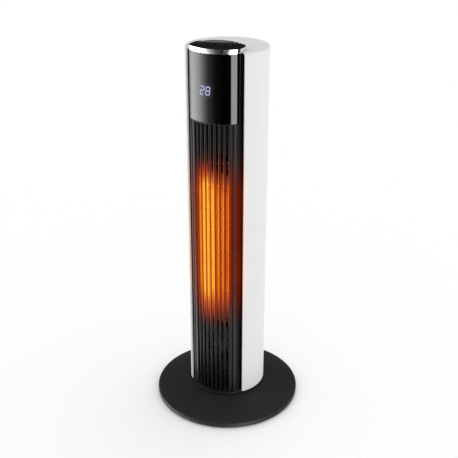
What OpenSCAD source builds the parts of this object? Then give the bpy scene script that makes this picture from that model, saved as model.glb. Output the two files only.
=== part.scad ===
// Tower fan heater on a round foot: a white shell round an oval black front
// column with a slatted outlet, a glossy display window and a touch panel.
// Front faces -Y, the tower turns on the foot about Z, millimetres throughout.

/* [Foot] */
// Radius of the round foot
base_r = 153.5; // [145:0.5:165]
// Height of the foot's flat crown above the ground
crown_z = 31; // [29:0.5:36]
// Radius of the flat crown under the tower
crown_r = 72; // [68:0.5:80]
// Height of the dome where it meets the rim
rim_z = 14; // [13:0.5:17]
// Rounding of the foot's upper rim
rim_round = 3; // [1:0.5:4]
// Wall of the foot's cover
cover_wall = 2.6; // [2:0.1:3.2]
// Gap between the ground and the cover's lower edge
cover_lift = 2; // [1:0.5:2.5]
// Height of the rubber feet
foot_h = 3; // [2.5:0.5:5]
// Radius of one rubber foot
foot_r = 11; // [8:0.5:14]
// Distance of the rubber feet's centres in from the rim
foot_inset = 19.5; // [18:0.5:32]
// Thickness of the bottom plate
plate_t = 2.5; // [2:0.1:3]
// Thickness of the steel ballast plate
ballast_t = 4; // [2:0.5:5]

/* [Swivel] */
// Outer radius of the hollow pivot post
post_r = 14; // [12:0.5:16]
// Wall of the pivot post
post_wall = 3.5; // [2.5:0.5:4]
// Running clearance of the hub on the post, on the radius
hub_clearance = 0.05; // [0.02:0.01:0.1]
// Wall of the tower's hub
hub_wall = 5; // [4:0.5:6]
// Height of the glide ring that carries the tower
glide_h = 3.8; // [2:0.1:6]
// Inner and outer radius of the glide ring
glide_in_r = 50; // [44:1:54]
glide_out_r = 62; // [58:1:66]
// Gap under a part that turns or slides over another
slide_gap = 0.2; // [0.1:0.05:0.3]
// Module of the swing gears
gear_module = 1.25; // [1.2:0.01:1.3]
// Teeth of the fixed gear
gear_teeth = 45; // [42:3:48]
// Teeth of the swing motor's pinion
pinion_teeth = 15; // [14:1:16]
// Face width of the swing gears
gear_w = 6; // [4:0.5:8]
// Thinning of each tooth for backlash
backlash = 0.3; // [0.2:0.05:0.4]
// Height of the nut on the post
nut_h = 5; // [4:0.5:6]

/* [Tower shell] */
// Outer radius of the tower
tower_r = 80; // [78:0.5:84]
// Height of the tower from its floor to the white top
tower_h = 731; // [715:1:780]
// Wall of the white shell
shell_wall = 3.5; // [2.5:0.1:4]
// Half the angle of the shell's front opening
opening_half = 48.5; // [46:0.5:51]
// Height of the shell's lower edge above the tower's underside
shell_lift = 1; // [0.5:0.5:2]
// Thickness of the tower's floor
floor_t = 3.5; // [3:0.5:5]
// Thickness of the top cap and the rounding of its edge
cap_t = 3.3; // [3:0.1:5]
cap_round = 3; // [1:0.5:3]
// Fitting gap between pieces that are assembled
fit_gap = 0.3; // [0.2:0.05:0.4]

/* [Front column] */
// How far the column's front lies behind the tower's radius
front_inset = 0.5; // [0:0.1:1.5]
// Half the width of the oval column
column_hw = 52.5; // [50:0.5:54]
// Radius of the column's front corners
front_corner_r = 18; // [16:0.5:20]
// Radius of the oval's rear corners
rear_corner_r = 29; // [26:0.5:31]
// Radius of the oval's rear arc
rear_arc_r = 62; // [58:1:70]
// Depth of the oval column from front to rear
oval_depth = 79.5; // [76:0.5:83]
// Wall of the black front frame
frame_wall = 3; // [2:0.5:3.5]
// Length of the column's flat side walls behind the rounded corners
side_len = 16.9; // [15:0.1:19]
// Thickness of the webs between the column and the shell
web_t = 3; // [2:0.5:4]

/* [Grille] */
// Distance between slats along the column's front
slat_pitch = 9.8; // [9.5:0.05:10]
// Width of one slat
slat_w = 5.6; // [4.5:0.1:6.5]
// Depth of one slat
slat_depth = 7; // [6.5:0.1:7.4]
// Slats on each side of the middle one
slat_side_count = 3; // [2:1:3]
// Width of the flat stile beyond the slats and of the slot between them
stile_w = 9; // [7:0.5:9.5]
stile_slot = 4.6; // [4:0.1:5]
// Distance between the hoops behind the slats
hoop_pitch = 46.5; // [40:0.5:60]
// Height and depth of one hoop
hoop_h = 2; // [1.5:0.1:3]
hoop_depth = 2.5; // [2:0.1:3]
// Height of the end rings of the grille
end_ring_h = 3; // [2:0.5:5]
// Height of the display window above the grille
panel_h = 129.2; // [120:0.2:150]
// Thickness of the display window
panel_t = 2.5; // [2:0.1:3]

/* [Top] */
// Height of the chrome trim
trim_h = 9; // [8:0.5:11]
// Wall of the chrome trim
trim_wall = 1.6; // [1.4:0.1:2.2]
// How far the chrome trim stands above the white top
trim_stand = 7.5; // [7:0.5:8]
// Thickness of the touch panel
touch_t = 2.3; // [2:0.1:3]

/* [Heater] */
// Lower end and height of the heater bank above the tower's underside
heater_lift = 155; // [150:1:160]
heater_h = 345; // [300:1:350]
// Half the width and the depth of the heater bank
heater_hw = 39; // [36:0.5:39]
heater_depth = 24; // [20:0.5:24]
// Distance of the heater's front face behind the column's front
heater_setback = 23.5; // [23:0.5:25.5]
// Number of fin columns and the width of the bars between them
fin_columns = 4; // [3:1:5]
bar_w = 4; // [3:0.5:6]
// Height of one fold of the fins and the sheet's thickness
fin_pitch = 6; // [5:0.5:8]
fin_t = 0.8; // [0.6:0.1:1]

/* [Fan] */
// Radius of the cross-flow impeller
impeller_r = 33; // [30:0.5:33.5]
// Y of the impeller's axis
impeller_y = 18; // [17:0.5:19]
// Blades of the impeller and the length of one blade's chord
blade_count = 24; // [18:1:30]
blade_chord = 8; // [6:0.5:9]
blade_t = 1; // [0.8:0.1:1.4]
// Discs of the impeller, the end discs among them
disc_count = 6; // [4:1:8]
disc_t = 1.6; // [1.2:0.1:2.5]
// Radius of the fan motor's can and its height
motor_r = 29; // [25:0.5:31]
motor_h = 42; // [35:1:48]
// Radius of the fan motor's shaft
shaft_r = 4; // [3:0.5:5]
// Radius of the impeller's upper stub
stub_r = 3; // [2.5:0.5:4]
// Running clearance of shafts in their bearings, on the radius
shaft_clearance = 0.05; // [0.02:0.01:0.1]

/* [Rear] */
// Half the angle of the intake window
intake_half = 40; // [34:1:40]
// Pitch and height of the intake louvres
louvre_pitch = 10; // [8:0.5:14]
louvre_h = 5.5; // [4:0.5:6]
// Half the width, height and depth of the hand grip's pocket
grip_hw = 45; // [40:1:48]
grip_h = 32; // [28:1:36]
grip_depth = 23; // [20:1:26]
// Depth of the grip's middle under the white top
grip_drop = 60; // [45:1:70]
// Width and height of the power switch's face
switch_w = 15; // [13:0.5:17]
switch_h = 21; // [19:0.5:24]
// Height of the power switch above the tower's underside
switch_lift = 43; // [38:1:50]

/* [Hidden] */
$fn = 96;

over = 1;
far = 400;

// Heights of the foot
plate_z = foot_h;
plate_top = plate_z + plate_t;
ballast_top = plate_top + ballast_t;
crown_under = crown_z - cover_wall;

// The dome is a sphere through the rim and the crown's edge
dome_edge_r = base_r - 2.5;
dome_z0 = (pow(crown_z, 2) - pow(rim_z, 2) - pow(dome_edge_r, 2) + pow(crown_r, 2))
    / (2 * (crown_z - rim_z));
dome_r = norm([crown_r, crown_z - dome_z0]);
rim_round_z = dome_z0 + sqrt(pow(dome_r - rim_round, 2) - pow(base_r - rim_round, 2));
rim_tangent_r = (base_r - rim_round) * dome_r / (dome_r - rim_round);
function dome_height(r) = dome_z0 + sqrt(pow(dome_r, 2) - r * r);

// Heights of the tower
tower_z = crown_z + glide_h + slide_gap;
floor_top = tower_z + floor_t;
tower_top = tower_z + tower_h;
shell_top = tower_top - cap_t;
inner_r = tower_r - shell_wall;
body_r = inner_r - fit_gap;
trim_top = tower_top + trim_stand;
trim_z = trim_top - trim_h;
panel_top = trim_z - fit_gap;
panel_z = panel_top - panel_h;
grille_top = panel_z - fit_gap;
deck_t = 3.2;
deck_z = panel_top - deck_t;
touch_z = trim_top - slide_gap - touch_t;

// The oval column: a front arc on the tower's axis, a rear arc and four corners
front_r = tower_r - front_inset;
front_corner_x = column_hw - front_corner_r;
rear_corner_x = column_hw - rear_corner_r;
front_corner_y = -sqrt(pow(front_r - front_corner_r, 2) - pow(front_corner_x, 2));
oval_rear_y = oval_depth - front_r;
column_mid_y = oval_rear_y - oval_depth / 2;
rear_arc_y = oval_rear_y - rear_arc_r;
side_end_y = front_corner_y + side_len;
rear_corner_y = rear_arc_y + sqrt(pow(rear_arc_r - rear_corner_r, 2) - pow(rear_corner_x, 2));
front_half = atan2(front_corner_x, -front_corner_y);
rear_half = atan2(rear_corner_x, rear_corner_y - rear_arc_y);
// Angles on the front arc between which the grille's stile lies
function front_angle(along) = along / front_r * 180 / PI;
stile_from = slat_side_count * slat_pitch + slat_w / 2 + stile_slot;
stile_inner = front_angle(stile_from);
stile_outer = front_angle(stile_from + stile_w);
frame_inner = front_angle(stile_from + stile_w + 1);
stile_depth = 5;
lip_end = front_half + 6;
lip_in = slat_depth + 0.6;

// Swing drive
gear_r = gear_module * gear_teeth / 2;
pinion_r = gear_module * pinion_teeth / 2;
pinion_y = gear_r + pinion_r;
gear_z = tower_z + floor_t + 8.5;
hub_top = gear_z - slide_gap;
nut_z = gear_z + gear_w + slide_gap;
post_top = nut_z + nut_h + 1;
flat_half = post_r - 1.5;
swing_motor_r = 17.5;
swing_motor_h = 16;
swing_ear_x = 24;
swing_motor_z = gear_z + gear_w + 4;
pinion_shaft_r = 2.5;

// Heater and fan
heater_z = tower_z + heater_lift;
heater_top = heater_z + heater_h;
heater_front_y = heater_setback - front_r;
heater_rear_y = heater_front_y + heater_depth;
heater_border = 5;
casing_t = 3.5;
casing_floor_z = heater_z - 9.2;
casing_z = casing_floor_z + casing_t;
casing_top = heater_top + 11;
casing_front_y = side_end_y + fit_gap;
impeller_z = heater_z - 1;
impeller_top = heater_top + 5;
scroll_x = 1.5;
scroll_y = impeller_y - 2;
scroll_in_r = impeller_r + 3.5;
scroll_wall_t = 2;
scroll_end = 90 - intake_half;
tongue_r = 2.2;
tongue_x = impeller_r + 3.6;
tongue_y = impeller_y - 12;
bracket_t = 2;
bracket_r = 36;
boss_h = 9;
grommet_h = 4;
bracket_z = casing_floor_z - boss_h - grommet_h - bracket_t;
motor_z = bracket_z - motor_h;
bearing_r = 8;
bearing_h = 8;

// Rear openings of the shell
intake_z = casing_z;
intake_top = casing_top;
grip_z = tower_top - grip_drop;
grip_wall = 2.5;
grip_round = 8;
switch_z = tower_z + switch_lift;
bezel_t = 1.5;
bezel_y = sqrt(pow(tower_r, 2) - pow(switch_w / 2 + bezel_t, 2)) + 0.8;
rocker_y = bezel_y - 6.7;
rocker_r = switch_h / 2 - 1.9;
rocker_tilt = 18;
rocker_w = switch_w - 5;
rocker_pin_r = 1.2;
rocker_pin_l = 0.8;

module oval(inset) {
    intersection() {
        circle(r = front_r - inset);
        polygon([[0, rear_corner_y], [-front_corner_x, front_corner_y],
            [-far * sin(front_half), -far * cos(front_half)],
            [far * sin(front_half), -far * cos(front_half)], [front_corner_x, front_corner_y]]);
    }
    translate([0, rear_arc_y]) intersection() {
        circle(r = rear_arc_r - inset);
        polygon([[0, 0], [far * sin(rear_half), far * cos(rear_half)],
            [-far * sin(rear_half), far * cos(rear_half)]]);
    }
    for (side = [-1, 1]) {
        translate([side * front_corner_x, front_corner_y]) circle(r = front_corner_r - inset);
        translate([side * rear_corner_x, rear_corner_y]) circle(r = rear_corner_r - inset);
    }
    translate([inset - column_hw, front_corner_y])
        square([2 * (column_hw - inset), rear_corner_y - front_corner_y]);
}

module oval_ring(outer, inner) {
    difference() {
        oval(outer);
        oval(inner);
    }
}

// The part of the plane in front of the corners' centres, between two rays from the tower's axis
module front_sector(angle) {
    x = -front_corner_y * tan(angle);
    polygon([[x, front_corner_y], [far * sin(angle), -far * cos(angle)],
        [-far * sin(angle), -far * cos(angle)], [-x, front_corner_y]]);
}

module plate_between(z0, z1) {
    translate([0, 0, z0]) linear_extrude(z1 - z0) children();
}

module ring(r_out, r_in, z0, z1) {
    translate([0, 0, z0]) difference() {
        cylinder(r = r_out, h = z1 - z0);
        translate([0, 0, -over]) cylinder(r = r_in, h = z1 - z0 + 2 * over);
    }
}

// A wedge round the tower's axis, centred on an angle
module wedge(centre, half) {
    polygon([[0, 0], [far * cos(centre - half), far * sin(centre - half)],
        [far * cos(centre), far * sin(centre)],
        [far * cos(centre + half), far * sin(centre + half)]]);
}

// A pattern on the front arc, at a distance along it
module on_front(along) {
    rotate(front_angle(along)) translate([0, -front_r]) children();
}

module screw(head_r, head_h, shank_r, shank_l) {
    translate([0, 0, -head_h]) cylinder(r = head_r, h = head_h);
    cylinder(r = shank_r, h = shank_l);
}

// Foot
foot_ring_r = base_r - foot_inset;
screw_ring_r = base_r - 35.5;
screw_shank_r = 1.5;
screw_l = 12;
foot_count = 5;
switch_at = base_r - 53.5;
plunger_r = 3;
plunger_travel = 5;
plunger_collar_z = plate_top + plunger_travel + 0.4;
plunger_collar_r = 4.6;
tip_switch_z = plunger_collar_z + 1.4;
tip_window = [36, 18];
gland_z = 7.6;
gland_r = 3.8;
gland_bore_r = 2.9;
gland_flange_r = 4.4;
flange_r = 28;
flange_t = 3;

module foot_profile(inset) {
    intersection() {
        translate([0, dome_z0]) circle(r = dome_r - inset, $fn = 360);
        translate([0, cover_lift]) square([rim_tangent_r - inset, crown_z - cover_lift - inset]);
    }
    translate([base_r - rim_round, rim_round_z]) circle(r = rim_round - min(inset, rim_round - 0.4));
    translate([0, cover_lift]) square([base_r - inset, rim_round_z - cover_lift]);
}

module around_foot(r, turn) {
    for (i = [0 : foot_count - 1]) rotate(turn + i * 360 / foot_count) translate([r, 0]) children();
}

module base_cover() {
    color("#232425") difference() {
        union() {
            rotate_extrude() difference() {
                foot_profile(0);
                foot_profile(cover_wall);
                translate([-over, 0]) square([base_r - cover_wall + over, rim_round_z - over]);
            }
            around_foot(screw_ring_r, 90 + 180 / foot_count) translate([0, 0, plate_top])
                cylinder(r = 4, h = dome_height(screw_ring_r + 4) - plate_top - 1);
        }
        cylinder(r = post_r + fit_gap, h = crown_z + over);
        around_foot(screw_ring_r, 90 + 180 / foot_count) translate([0, 0, plate_top - over])
            cylinder(r = screw_shank_r + 0.05, h = screw_l - plate_t + over);
        translate([0, base_r + over, gland_z]) rotate([90, 0, 0])
            cylinder(r = gland_r + 0.1, h = cover_wall + 4);
    }
}

module base_plate() {
    color("#1c1d1e") difference() {
        ring(base_r - cover_wall - fit_gap, 20, plate_z, plate_top);
        around_foot(screw_ring_r, 90 + 180 / foot_count) translate([0, 0, plate_z - over])
            cylinder(r = screw_shank_r + 0.2, h = plate_t + 2 * over);
        translate([0, switch_at, plate_z - over])
            cylinder(r = plunger_r + 0.08, h = plate_t + 2 * over);
        translate([-gland_flange_r - 0.4, base_r - cover_wall - 9, plate_z - over])
            cube([2 * gland_flange_r + 0.8, 10, plate_t + 2 * over]);
    }
}

module ballast_plate() {
    color("#8d9094") difference() {
        ring(base_r - 16, 34, plate_top, ballast_top);
        around_foot(screw_ring_r, 90 + 180 / foot_count) translate([0, 0, plate_top - over])
            cylinder(r = 4.5, h = ballast_t + 2 * over);
        translate([-tip_window[0] / 2, switch_at - tip_window[1] / 2, plate_top - over])
            cube([tip_window[0], tip_window[1], ballast_t + 2 * over]);
    }
}

module rubber_feet() {
    color("#141414") around_foot(foot_ring_r, -90) cylinder(r = foot_r, h = foot_h);
}

module base_screws() {
    color("silver") around_foot(screw_ring_r, 90 + 180 / foot_count)
        translate([0, 0, plate_z]) screw(3.4, 1.8, screw_shank_r, screw_l);
}

module cord_gland() {
    color("#161616") difference() {
        translate([0, base_r - 0.4, gland_z]) rotate([90, 0, 0]) {
            cylinder(r = gland_r, h = 11);
            translate([0, 0, 4.8]) cylinder(r = gland_flange_r, h = 3);
        }
        translate([0, base_r + over, gland_z]) rotate([90, 0, 0]) cylinder(r = gland_bore_r, h = 16);
    }
}

module tip_switch() {
    body_h = 9;
    color("#2c2f36") translate([0, switch_at, 0]) {
        translate([-10, -3.2, tip_switch_z]) cube([20, 6.4, body_h]);
        for (side = [-1, 1]) translate([side * 13 - 3, -4, plate_top])
            cube([6, 8, tip_switch_z + body_h - plate_top]);
    }
}

module tip_plunger() {
    color("#d8d4c8") translate([0, switch_at, 0]) {
        translate([0, 0, 1]) cylinder(r = plunger_r, h = tip_switch_z - slide_gap - 1);
        cylinder(r = plunger_r - 1, h = 1);
        translate([0, 0, plunger_collar_z]) cylinder(r = plunger_collar_r, h = 1.1);
    }
}

// Swivel
module post_section(grow) {
    intersection() {
        circle(r = post_r + grow);
        square([2 * (flat_half + grow), far], center = true);
    }
}

module pivot_post() {
    color("#9a9da1") difference() {
        union() {
            translate([0, 0, crown_under - flange_t]) cylinder(r = flange_r, h = flange_t);
            translate([0, 0, crown_under - flange_t])
                cylinder(r = post_r, h = hub_top - crown_under + flange_t);
            plate_between(hub_top - over, post_top) post_section(0);
        }
        translate([0, 0, crown_under - flange_t - over])
            cylinder(r = post_r - post_wall, h = post_top);
    }
}

module post_nut() {
    color("silver") difference() {
        translate([0, 0, nut_z]) cylinder(r = post_r + 5, h = nut_h, $fn = 6);
        translate([0, 0, nut_z - over]) cylinder(r = post_r + 0.1, h = nut_h + 2 * over);
    }
}

pressure_angle = 20;
addendum = 0.95;
dedendum = 1.25;
flank_steps = 4;

function involute(r, base) = tan(acos(base / r)) * 180 / PI - acos(base / r);
// Half the angle that a tooth takes up at a radius
function tooth_half(r, teeth) = let (
    pitch = gear_module * teeth / 2,
    base = pitch * cos(pressure_angle)
) 90 / teeth + involute(pitch, base) - involute(max(r, base), base)
    - backlash / 2 / pitch * 180 / PI;
function polar(r, a) = [r * cos(a), r * sin(a)];

module gear_outline(teeth) {
    pitch = gear_module * teeth / 2;
    root = pitch - dedendum * gear_module;
    low = max(root, pitch * cos(pressure_angle));
    tip = pitch + addendum * gear_module;
    radii = [for (i = [0 : flank_steps]) low + (tip - low) * i / flank_steps];
    polygon([for (t = [0 : teeth - 1]) let (a = t * 360 / teeth) each [
        polar(root, a - tooth_half(low, teeth)),
        for (r = radii) polar(r, a - tooth_half(r, teeth)),
        for (i = [flank_steps : -1 : 0]) polar(radii[i], a + tooth_half(radii[i], teeth)),
        polar(root, a + tooth_half(low, teeth))
    ]]);
}

module swing_gear() {
    color("#e9e6dc") plate_between(gear_z, gear_z + gear_w) difference() {
        rotate(90) gear_outline(gear_teeth);
        post_section(0.1);
        for (i = [0 : 5]) rotate(30 + i * 60) translate([post_r + 6.5, 0]) circle(r = 3.5);
    }
}

module glide_ring() {
    color("#dcd9cf") ring(glide_out_r, glide_in_r, crown_z, crown_z + glide_h);
}

module swing_pinion() {
    color("#e9e6dc") translate([0, pinion_y, 0]) plate_between(gear_z, gear_z + gear_w)
        difference() {
            rotate(270 + 180 / pinion_teeth) gear_outline(pinion_teeth);
            circle(r = pinion_shaft_r + 0.02);
        }
}

module pinion_shaft() {
    color("silver") translate([0, pinion_y, gear_z - 0.5])
        cylinder(r = pinion_shaft_r, h = swing_motor_z - gear_z + 4);
}

module swing_motor() {
    color("#b9bcc0") translate([0, pinion_y, swing_motor_z]) difference() {
        union() {
            cylinder(r = swing_motor_r, h = swing_motor_h);
            linear_extrude(1.2) {
                for (side = [-1, 1]) translate([side * swing_ear_x, 0]) circle(r = 4);
                square([2 * swing_ear_x, 8], center = true);
            }
        }
        translate([0, 0, -over]) cylinder(r = pinion_shaft_r + shaft_clearance, h = 5.5);
        for (side = [-1, 1]) translate([side * swing_ear_x, 0, -over])
            cylinder(r = screw_shank_r + 0.2, h = 4);
    }
}

module swing_screws() {
    color("silver") for (side = [-1, 1])
        translate([side * swing_ear_x, pinion_y, swing_motor_z + 1.2])
            rotate([180, 0, 0]) screw(3, 1.6, screw_shank_r, 8);
}

// Tower
shell_screw_angles = [22, 158];
shell_screw_heights = [tower_z + 17, shell_top - 16];
lug_half_h = 6;
loom_x = -52;
loom_y = -18;
loom_r = 3.2;
loom_bend_r = 7;
plug_x = loom_x + 9;
plug_h = 10;

module tower_floor() {
    color("#17181a") difference() {
        union() {
            plate_between(tower_z, floor_top) {
                circle(r = body_r);
                oval(0);
            }
            translate([0, 0, tower_z]) cylinder(r = post_r + hub_wall, h = hub_top - tower_z);
            for (side = [-1, 1]) translate([side * swing_ear_x, pinion_y, tower_z])
                cylinder(r = 4, h = swing_motor_z - tower_z);
            shell_lugs(floor_top - over, shell_screw_heights[0] + lug_half_h);
        }
        lug_holes();
        translate([0, 0, tower_z - over])
            cylinder(r = post_r + hub_clearance, h = hub_top - tower_z + 2 * over);
        for (side = [-1, 1]) translate([side * swing_ear_x, pinion_y, swing_motor_z - 9])
            cylinder(r = screw_shank_r + 0.05, h = 9 + over);
    }
}

module shell_section(r_out, r_in) {
    difference() {
        circle(r = r_out);
        circle(r = r_in);
        wedge(270, opening_half);
    }
}

// A slot with round corners that cuts through the tower's rear, along Y
module rear_slot(half_w, h, round, from_y, to_y) {
    translate([0, to_y, 0]) rotate([90, 0, 0]) linear_extrude(to_y - from_y) {
        square([2 * (half_w - round), h], center = true);
        square([2 * half_w, h - 2 * round], center = true);
        for (x = [-1, 1]) for (y = [-1, 1])
            translate([x * (half_w - round), y * (h / 2 - round)]) circle(r = round);
    }
}

module shell_lugs(z0, z1) {
    plate_between(z0, z1) for (a = shell_screw_angles) intersection() {
        difference() {
            circle(r = body_r);
            circle(r = body_r - 9);
        }
        wedge(a, 4.5);
    }
}

module at_shell_screws() {
    for (a = shell_screw_angles) for (z = shell_screw_heights)
        rotate(a) translate([tower_r, 0, z]) rotate([0, -90, 0]) children();
}

module rear_shell() {
    color("#eeeeec") difference() {
        plate_between(tower_z + shell_lift, shell_top) shell_section(tower_r, inner_r);
        plate_between(intake_z, intake_top) wedge(90, intake_half);
        translate([0, 0, grip_z])
            rear_slot(grip_hw + grip_wall + fit_gap, grip_h + 2 * (grip_wall + fit_gap),
                grip_round + grip_wall + fit_gap, 0, tower_r + over);
        translate([-switch_w / 2 + 0.8, tower_r - 20, switch_z - switch_h / 2 + 0.8])
            cube([switch_w - 1.6, 30, switch_h - 1.6]);
        translate([-switch_w / 2 - bezel_t - 0.2, bezel_y - bezel_t - 0.1,
                switch_z - switch_h / 2 - bezel_t - 0.2])
            cube([switch_w + 2 * bezel_t + 0.4, 10, switch_h + 2 * bezel_t + 0.4]);
        at_shell_screws() {
            translate([0, 0, -over]) cylinder(r = 3.8, h = 2.3 + over);
            translate([0, 0, -over]) cylinder(r = screw_shank_r + 0.2, h = shell_wall + 2 * over);
        }
    }
}

module lug_holes() {
    at_shell_screws() cylinder(r = screw_shank_r + 0.05, h = 12);
}

module shell_screws() {
    color("#6d6f72") at_shell_screws() translate([0, 0, 2.3]) screw(3.4, 1.8, screw_shank_r, 8);
}

module intake_arc(span, r_in, r_out, z0, z1) {
    rotate(90 - span / 2) rotate_extrude(angle = span) translate([r_in, z0]) square([r_out - r_in, z1 - z0]);
}

module intake_cover() {
    rim = 6;
    post = 3;
    low = intake_z + fit_gap;
    high = intake_top - fit_gap;
    half = intake_half - fit_gap / tower_r * 180 / PI;
    count = floor((high - low - 2 * rim) / louvre_pitch);
    first = (low + high - (count - 1) * louvre_pitch) / 2;
    rib_count = 3;
    color("#e9e9e7") {
        difference() {
            plate_between(low, high) intersection() {
                difference() {
                    circle(r = tower_r);
                    circle(r = inner_r);
                }
                wedge(90, half);
            }
            plate_between(low + rim, high - rim) wedge(90, half - post);
        }
        for (i = [0 : count - 1]) let (z = first + i * louvre_pitch)
            intake_arc(2 * half - post, inner_r + 0.6, tower_r - 0.3, z - louvre_h / 2, z + louvre_h / 2);
        for (i = [1 : rib_count]) rotate((i / (rib_count + 1) - 0.5) * 2 * half)
            intake_arc(post, inner_r + 0.2, tower_r - 1, low + 1, high - 1);
    }
}

module dust_filter() {
    color("#5d6063") plate_between(intake_z + fit_gap, intake_top - fit_gap) intersection() {
        difference() {
            circle(r = inner_r - fit_gap);
            circle(r = inner_r - fit_gap - 1.6);
        }
        wedge(90, intake_half - 2);
    }
}

module grip_cup() {
    color("#dfdfdd") translate([0, 0, grip_z]) difference() {
        intersection() {
            rear_slot(grip_hw + grip_wall, grip_h + 2 * grip_wall, grip_round + grip_wall,
                tower_r - grip_depth - grip_wall, tower_r + over);
            translate([0, 0, -far / 2]) cylinder(r = tower_r - 0.2, h = far);
        }
        rear_slot(grip_hw, grip_h, grip_round, tower_r - grip_depth, tower_r + 2 * over);
    }
}

rail_y = side_end_y + 6;
board_t = 1.6;
board_hw = column_hw - 5.4;
board_z = casing_top + casing_t + 8;
board_top = deck_z - 60;

module side_webs() {
    intersection() {
        for (side = [0, 1]) mirror([side, 0])
            translate([column_hw - frame_wall, side_end_y - web_t]) square([far, web_t]);
        circle(r = body_r);
    }
}

module front_frame() {
    color("#131415") {
        // Side walls below the window, with the lip that the grille sits on
        plate_between(floor_top, panel_z + frame_wall) intersection() {
            oval_ring(0, frame_wall);
            translate([-far / 2, front_corner_y]) square([far, side_end_y - front_corner_y]);
        }
        plate_between(floor_top, grille_top) {
            difference() {
                intersection() {
                    union() {
                        oval_ring(0, stile_depth + 0.2);
                        intersection() {
                            oval_ring(stile_depth + 0.2, lip_in);
                            front_sector(lip_end);
                        }
                    }
                    translate([-far / 2, -far]) square([far, far + front_corner_y + over]);
                }
                intersection() {
                    oval_ring(-over, stile_depth + 0.2);
                    front_sector(frame_inner);
                }
                front_sector(front_angle(stile_from + 2.4));
            }
        }
        // Side walls beside and behind the window
        plate_between(panel_z, panel_top) difference() {
            intersection() {
                oval_ring(0, frame_wall + panel_t + 0.2);
                translate([-far / 2, -far]) square([far, far + side_end_y]);
            }
            intersection() {
                oval_ring(-over, panel_t + 0.2);
                translate([-far / 2, -far]) square([far, far + front_corner_y]);
            }
            translate([display_x - display_w / 2 - 1, -far])
                square([display_w + 2, far - 60]);
        }
        // Strips over and under the opening for the digits
        for (span = [[panel_z, display_z - display_h / 2 - 1],
                [display_z + display_h / 2 + 1, panel_top]])
            plate_between(span[0], span[1]) intersection() {
                oval_ring(panel_t + 0.2, frame_wall + panel_t + 0.2);
                translate([display_x - display_w / 2 - 1 - over, -far])
                    square([display_w + 2 + 2 * over, far - 60]);
            }
        // Full-height webs out to the shell
        plate_between(floor_top, deck_z) side_webs();
        // Deck that carries the trim and the touch board
        plate_between(deck_z, panel_top) oval(panel_t + 0.2);
        for (x = [-24, 24]) for (y = [-15, 15]) translate([x, column_mid_y + y, panel_top - over])
            cylinder(r = 3, h = touch_board_z - panel_top + over);
        // Cross rings behind the grille's ends
        for (z = [floor_top, grille_top - 6]) plate_between(z, z + 6) intersection() {
            oval_ring(slat_depth + 0.3, slat_depth + 3);
            front_sector(lip_end);
        }
        // Rails for the power board
        plate_between(board_z - 3, board_top + 3) for (side = [-1, 1]) difference() {
            translate([side * (column_hw - 3.5), side_end_y + 5 - web_t / 2])
                square([6, 10 + web_t], center = true);
            translate([0, rail_y + board_t / 2])
                square([2 * board_hw + 0.4, board_t + 0.4], center = true);
        }
    }
}

module grille() {
    color("#1b1c1d") {
        plate_between(floor_top + fit_gap, grille_top) {
            for (i = [-slat_side_count : slat_side_count]) on_front(i * slat_pitch) {
                translate([0, slat_w / 2]) circle(r = slat_w / 2);
                translate([-slat_w / 2, slat_w / 2]) square([slat_w, slat_depth - slat_w / 2]);
            }
            difference() {
                intersection() {
                    oval_ring(0, stile_depth);
                    front_sector(stile_outer);
                }
                front_sector(stile_inner);
            }
        }
        hoop_count = floor((grille_top - floor_top - end_ring_h) / hoop_pitch);
        for (i = [1 : hoop_count]) {
            z = floor_top + 7 + i * hoop_pitch;
            plate_between(z - hoop_h / 2, z + hoop_h / 2) intersection() {
                oval_ring(slat_depth - hoop_depth, slat_depth);
                front_sector(front_angle(stile_from + 1.6));
            }
        }
        for (z = [floor_top + fit_gap, grille_top - end_ring_h])
            plate_between(z, z + end_ring_h) intersection() {
                oval_ring(0.8, slat_depth);
                front_sector(front_angle(stile_from + 1.6));
            }
    }
}

display_x = -7;
display_w = 34;
display_h = 28;
display_z = panel_top - 69;
led_depth = 7.2;
led_front_y = fit_gap - sqrt(pow(front_r - panel_t, 2) - pow(display_w / 2 - display_x, 2));
display_board_y = led_front_y + led_depth;
display_board_hw = sqrt(pow(front_r - frame_wall - panel_t - 0.2, 2) - pow(display_board_y, 2)) - 0.2;

module display_panel() {
    color("#050505") plate_between(panel_z, panel_top) intersection() {
        oval_ring(0, panel_t);
        translate([-far / 2, -far]) square([far, far + front_corner_y - fit_gap]);
    }
}

module display_board() {
    color("#1d5b34") translate([-display_board_hw, display_board_y, panel_z + 14])
        cube([2 * display_board_hw, board_t, panel_h - 24]);
}

module led_module() {
    color("#e6e6e6") translate([display_x - display_w / 2, led_front_y, display_z - display_h / 2])
        cube([display_w, led_depth, display_h]);
}

touch_board_z = touch_z - 2.2;

module chrome_trim() {
    ledge = 2;
    color("#d7d9db") difference() {
        plate_between(trim_z, trim_top) oval(0);
        plate_between(trim_z + ledge, trim_top + over) oval(trim_wall);
        plate_between(trim_z - over, trim_top + over) oval(trim_wall + ledge);
    }
}

module control_panel() {
    color("#101113") plate_between(touch_z, touch_z + touch_t) oval(trim_wall + fit_gap);
}

module touch_board() {
    color("#1d5b34") {
        plate_between(touch_board_z, touch_board_z + board_t) oval(trim_wall + 4);
        for (i = [-2 : 2]) translate([i * 15, column_mid_y - 1.2 + 2 * abs(i), touch_board_z + board_t])
            cylinder(r = 5, h = touch_z - touch_board_z - board_t);
    }
}

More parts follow.
